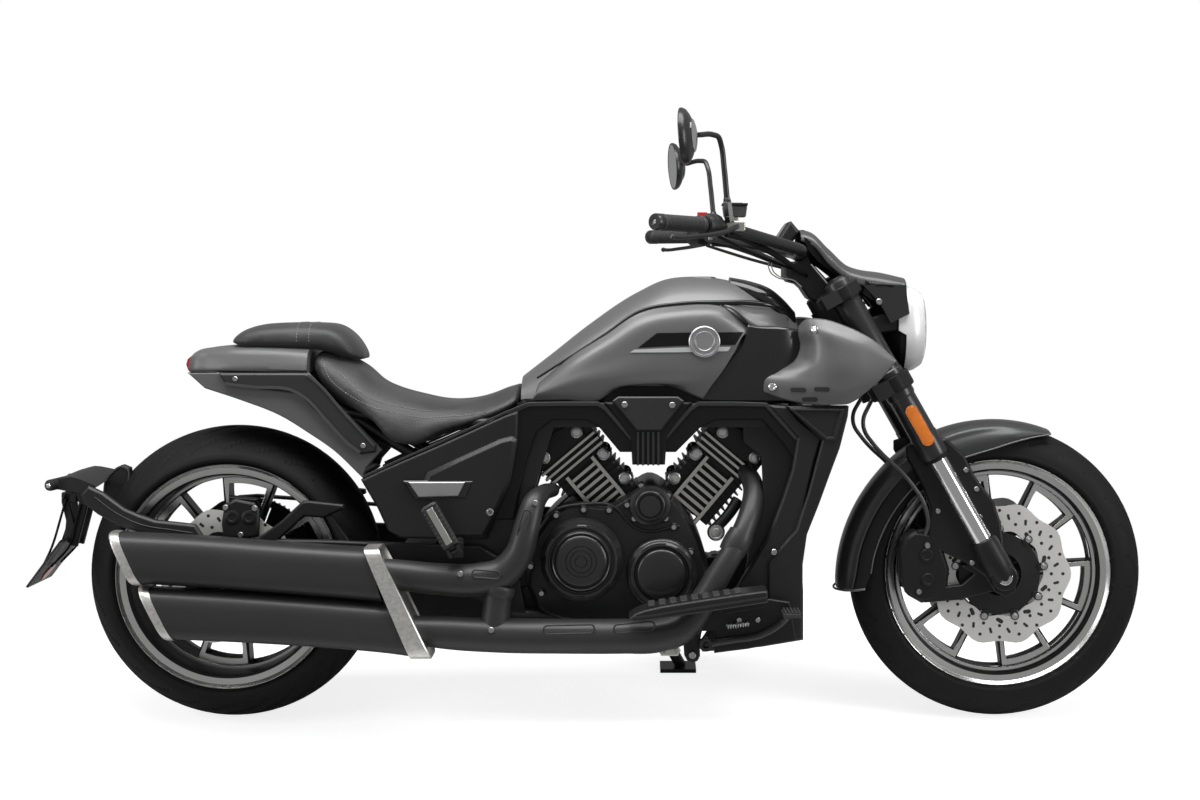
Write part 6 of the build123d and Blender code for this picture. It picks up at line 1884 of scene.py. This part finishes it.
piece("plate_backing", moved(rounded(blade, -85, 85, 0.8, 3), PLATE), matt_black, bevel=0.6)
plate_lamp = moved(block_form(-14, 20, -30, 30, -61, -38), PLATE)
piece("plate_lamp", plate_lamp, cover_black, bevel=3.0)
reflector_at = PLATE + (-52.8, 0, -214)
round_reflector = spindle(
    [(0, 4.6), (18, 4.4), (21, 2.5), (21.8, 0), (21.8, -4), (0, -4)], reflector_at,
    reflector_at + np.array([-0.78, 0, 0.63]), 40,
)
piece("rear_reflector", round_reflector, red_lens, sharp=30)
stalk = [(7, 0), (7, 46), (9, 50), (11.6, 60), (12, 70), (12, 148), (11, 153), (8, 155)]
STALK = (PLATE + (50, -20, -2), PLATE + (2, -168, -10))
stalks = spindle(stalk, *STALK, 32)
twin("rear_indicators", stalks, cover_black, sharp=30)
smoke = finish(
    "indicator_smoked_amber", (0.22, 0.07, 0.02), 0.15, coat=0.8, spread=0.25, patch=80, grain=300, relief=0.3,
)
lens_bar = moved(spindle([(10.2, 64), (11.6, 66), (11.6, 146), (10.2, 148)], *STALK, 32), (-3.2, 0, 0))
twin("rear_indicator_lenses", lens_bar, smoke, sharp=30)
twin("rear_indicator_tips", spindle([(0, 157.4), (5, 157), (6.4, 155), (6.4, 152), (0, 152)], *STALK, 6), steel_bolt)
lines = joined(
    tube(
        [PLATE + p for p in ((-2, -34, -52), (-12, -36, -90), (-34, -34, -160), (-60, -34, -214))], [2.6] * 4, 40, 10,
    ),
    tube([PLATE + p for p in ((30, -34, -64), (18, -34, -110), (8, -34, -150), (-34, -34, -200))], [2.4] * 4, 40, 10),
)
twin("plate_wires", lines, rubber)

# ---- Swingarm, rear brake and final drive ----
# Angular black castings each side of the wheel with a raised brace, a twin-piston caliper above the disc, and a
# toothed belt from the gearbox to a spoked pulley.
arm_side = [
    (-60, 278), (30, 276), (505, 303), (575, 311), (583, 365), (545, 387), (230, 400), (60, 403), (34, 372),
    (-40, 362), (-66, 338),
]
brace_side = [
    (60, 396), (120, 440), (165, 482), (178, 484), (254, 476), (256, 466), (245, 462), (212, 447), (170, 450),
    (112, 396),
]
strut_side = [(210, 455), (228, 452), (268, 396), (244, 396)]
right_arm = joined(
    moulding(arm_side, -129, -148, 4), moulding(brace_side, -131, -146, 4), moulding(strut_side, -134, -142, 2),
)
left_arm = joined(
    moulding(arm_side, 161, 188, 4), moulding(brace_side, 163, 186, 4), moulding(strut_side, 166, 182, 2),
)
hinge = moved(turned([(14, -127.5), (33, -127.5), (33, 159.5), (14, 159.5)], 48), (545, 0, 345))
cross_tube = slab([(370, 322), (440, 322), (440, 382), (370, 382)], -128, 122)
piece(
    "swingarm_castings", joined(right_arm, left_arm, hinge, cross_tube), cast_black, "swingarm", "black_frame",
    bevel=2.5,
)
axle_nut = [(7.6, 0), (7.6, 8), (15, 8), (17, 6.5), (17, 0)]
nut_right = moved(turned([(r, -149 - h) for r, h in axle_nut], 6), at_rear)
nut_left = moved(turned([(r, 189 + h) for r, h in axle_nut], 6), at_rear)
piece("rear_axle_nuts", joined(nut_right, nut_left), steel_bolt, sharp=25)
caliper_side = [(-6, 402), (30, 398), (70, 404), (72, 462), (60, 478), (20, 486), (-4, 474), (-10, 432)]
rear_caliper = joined(
    moulding(caliper_side, -116, -127, 5), moulding(caliper_side, -90, -80, 5),
    slab([(4, 486), (64, 480), (64, 484), (4, 490)], -120, -84),
)
piece("rear_caliper_body", rear_caliper, cast_black, "rear_caliper", "dark_steel", bevel=2.5)
pot_line = [(16, -125), (16, -128), (13, -129.5), (8, -129.5), (7, -128.5), (0, -128.5)]
pots = at_each(turned(pot_line, 32), ((14, 446), (50, 446)))
piece("rear_caliper_pots", pots, cast_black, sharp=30)
piece("rear_caliper_bolts", bolts([(0, 468), (62, 466), (32, 410)], 6, 4, -127), steel_bolt)


def toothed(radius, teeth, high, y0, y1):
    """A belt pulley's rim: rounded teeth round a ring, open through the middle."""
    a = circle(teeth * 8)
    r = radius - high * (0.5 + 0.5 * np.tanh(3 * np.cos(a * teeth)))
    rows = [swept(q, y, a) for q, y in ((radius - 14, y0), (r, y0), (r, y1), (radius - 14, y1))]
    return grid_form(np.stack(rows), wrap_rows=True, wrap_cols=True)


flange = turned([(128, 127.3), (144, 127.3), (144, 129), (128, 129)], 96)
arms = joined(*[arc_bar(30, 130, k * 60 - 9, k * 60 + 9, 134, 148) for k in range(6)])
pulley_hub = turned([(24, 128), (44, 128), (44, 154), (24, 154)], 60)
pulley = joined(toothed(142, 70, 4, 129, 154.5), flange, arms, pulley_hub)
piece(
    "rear_pulley_toothed", moved(pulley, at_rear), fork_black, "rear_pulley", "dark_steel", sharp=40,
    body="rear_wheel",
)
pulley_bolts = spun(mirrored(bolts([(36 * math.cos(a), 36 * math.sin(a)) for a in circle(5)], 5, 3, -154)), 12)
piece("rear_pulley_bolts", moved(pulley_bolts, at_rear), steel_bolt, body="rear_wheel")

# ---- Footboards and foot controls ----
# A flat rubber-topped board each side on a black bracket with a hanging leg, a brake pedal on the right and a
# gear lever on the left.
board_line = [
    (858, 266), (872, 276), (890, 283), (925, 291), (1000, 303), (1084, 315.5), (1132, 322), (1140, 321), (1141, 298),
    (1084, 289), (985, 274), (892, 261), (866, 260),
]
twin(
    "footboard_plates", rounded(board_line, -246, -330, 3, -4), cover_black, "footboards", "black_plastic", bevel=1.5,
)
ribs = []
for n in range(9):
    x = 905 + n * 22
    z = 291.5 + (x - 905) * 0.147
    ribs.append(moved(spun(block_form(-7, 7, -318, -258, -3, 2.6), 8.4), (x, 0, z - 2)))
twin("footboard_rubbers", joined(*ribs), grip_rubber, bevel=1.4)
edge = through([(866, 268), (892, 271), (985, 286), (1084, 301), (1138, 309)], 40)
twin("footboard_edges", strip_along(edge, 2.2, -326, -331.5), cover_pale)
hang = [
    (893, 261), (1007, 279), (1153, 288), (1194, 282), (1200, 248), (1207, 202), (1107, 184), (1036, 175),
    (1038, 200), (1036, 221), (1011, 221), (1007, 200), (1007, 169), (1002, 159), (991, 155), (980, 160),
    (974, 171), (972, 200), (915, 208), (903, 223),
]
brackets_form = moulding(hang, -212, -222, 2.5)
arm_plate = slab([(1060, 286), (1141, 299), (1141, 276), (1060, 262)], -250, -214)
post = spindle([(12, 0), (12, 116)], (1120, -104, 214), (1120, -216, 240), 32)
twin("footboard_brackets", joined(brackets_form, arm_plate, post), cast_black, bevel=1.5)
spots = [(917, 222), (955, 222), (1088, 245), (1127, 245), (1094, 206)]
bolted("footboard_bolts", spots, 5.5, 3.5, -222)
turns = 9
wire = [
    (1062 + 46 * t, -228 + 6 * math.cos(2 * math.pi * turns * t), 232 + 6 * math.sin(2 * math.pi * turns * t) + 6 * t)
    for t in np.linspace(0, 1, turns * 12)
]
piece("pedal_spring", tube(wire, [1.3] * len(wire), turns * 24, 8), steel_bolt, sharp=60)
pedal_path = [
    (1018, -231, 196), (1070, -231, 204), (1130, -231, 214), (1165, -234, 232), (1188, -246, 256), (1193, -262, 264),
]
pedal = joined(
    tube(pedal_path, [8, 7, 6.6, 6.6, 6.6, 6.4], 60, 18),
    moved(turned([(7, -241), (13, -241), (14, -239), (14, -223), (7, -223)], 32), (1018, 0, 196)),
)
piece("brake_pedal", pedal, fork_black, "foot_controls", "black_frame", sharp=45)
pad_form = [block_form(1174, 1210, -299, -239, 262, 270)] + [
    block_form(1177 + n * 7, 1181 + n * 7, -298, -240, 270, 274) for n in range(5)
]
piece("brake_pedal_pad", joined(*pad_form), grip_rubber, bevel=1.2)
lever_path = [(x, -y, z) for x, y, z in pedal_path[:4]] + [(1208, 246, 260), (1215, 252, 267)]
shift = joined(
    tube(lever_path, [7, 6.6, 6.2, 6.2, 6.2, 6.2], 60, 18),
    moved(turned([(7, 223), (13, 223), (14, 225), (14, 239), (7, 239)], 32), (1018, 0, 190)),
)
piece("gear_lever", shift, fork_black, slot="black_frame", sharp=45)
peg_line = [(4, 0), (9, 0.5)]
for n in range(7):
    peg_line += [(11, 2 + n * 7.4), (11, 6 + n * 7.4), (9.6, 7 + n * 7.4), (9.6, 8.4 + n * 7.4)]
peg_line += [(10, 54), (6, 55.5), (0, 55.5)]
piece("gear_lever_peg", spindle(peg_line, (1215, 244, 268), (1215, 300, 268), 32), grip_rubber, sharp=40)
link = moulding([(924, 190), (961, 191), (967, 181), (961, 170), (926, 170), (920, 181)], -212, -224, 1.5)
twin("pedal_link", link, machined, bevel=2.5)
ends = bolts([(932, 181), (957, 181)], 5, 3, -224)
pivots = bolts([(991, 172)], 7.5, 5, -222)
twin("pedal_link_bolts", joined(ends, pivots), steel_bolt)

# ---- Passenger pegs ----
# Each peg is a ribbed rubber block with a brushed plate let into its outer face, on a black cast eye, and stands
# folded up along the machine.


def on_peg(form):
    """A form drawn upright from the peg's pin, leaned to the folded peg and set on the right side."""
    return moved(spun(form, 30), (499, -252, 392))


pad_side = [(-17, 12), (17, 12), (17, 106), (11, 110), (-11, 110), (-17, 106)]
pad_small = inset(pad_side, 3)
block = [(pad_small, 11), (pad_side, 8), (pad_side, -6), (pad_small, -9.4)]
ribs = joined(*[block_form(x, x + 6, -10.6, 10, z, z + 4.5) for x in (-17, 11) for z in np.arange(20, 104, 9)])
eye = block_form(-6.5, 6.5, -7.5, 7.5, 5, 20)
rubber_form, face_form = on_peg(joined(layered(block), ribs)), on_peg(
    layered([([(-8, 18), (8, 18), (8, 102), (-8, 102)], -9), ([(-6.5, 19), (6.5, 19), (6.5, 101), (-6.5, 101)], -11)])
)
for side, facing in (("right", lambda form: form), ("left", mirrored)):
    body = "peg_" + side
    piece(
        "peg_rubber_" + side, facing(rubber_form), grip_rubber, "passenger_peg_" + side, "rubber", bevel=1.0,
        body=body,
    )
    piece("peg_face_" + side, facing(face_form), machined, slot="polished_alloy", bevel=0.8, body=body)
    piece("peg_eye_" + side, facing(on_peg(eye)), cast_black, bevel=1.0, body=body)

# ---- Frame and remaining metal ----
# The welded tube frame, the bar, both axles, the brake hoses, the belt and the stand keep their drawn forms under
# painted, plated or rubber surfaces.
frame_paint = finish(
    "frame_satin_black", (0.010, 0.010, 0.0105), 0.4, coat=0.12, spread=0.12, patch=7, grain=1500, relief=0.15,
    edge=0.6,
)
hose_skin = finish("hose_rubber", (0.05, 0.05, 0.051), 0.3, coat=0.3, spread=0.1, patch=30, grain=1200, relief=0.1)
for node, skin in (
    ("main_frame", frame_paint), ("side_stand", frame_paint), ("handlebar", fork_black), ("front_axle", machined),
    ("rear_axle", machined), ("front_brake_hoses", hose_skin), ("drive_belt", grip_rubber),
):
    for place in frame["nodes"][node].material_slots:
        place.material = skin
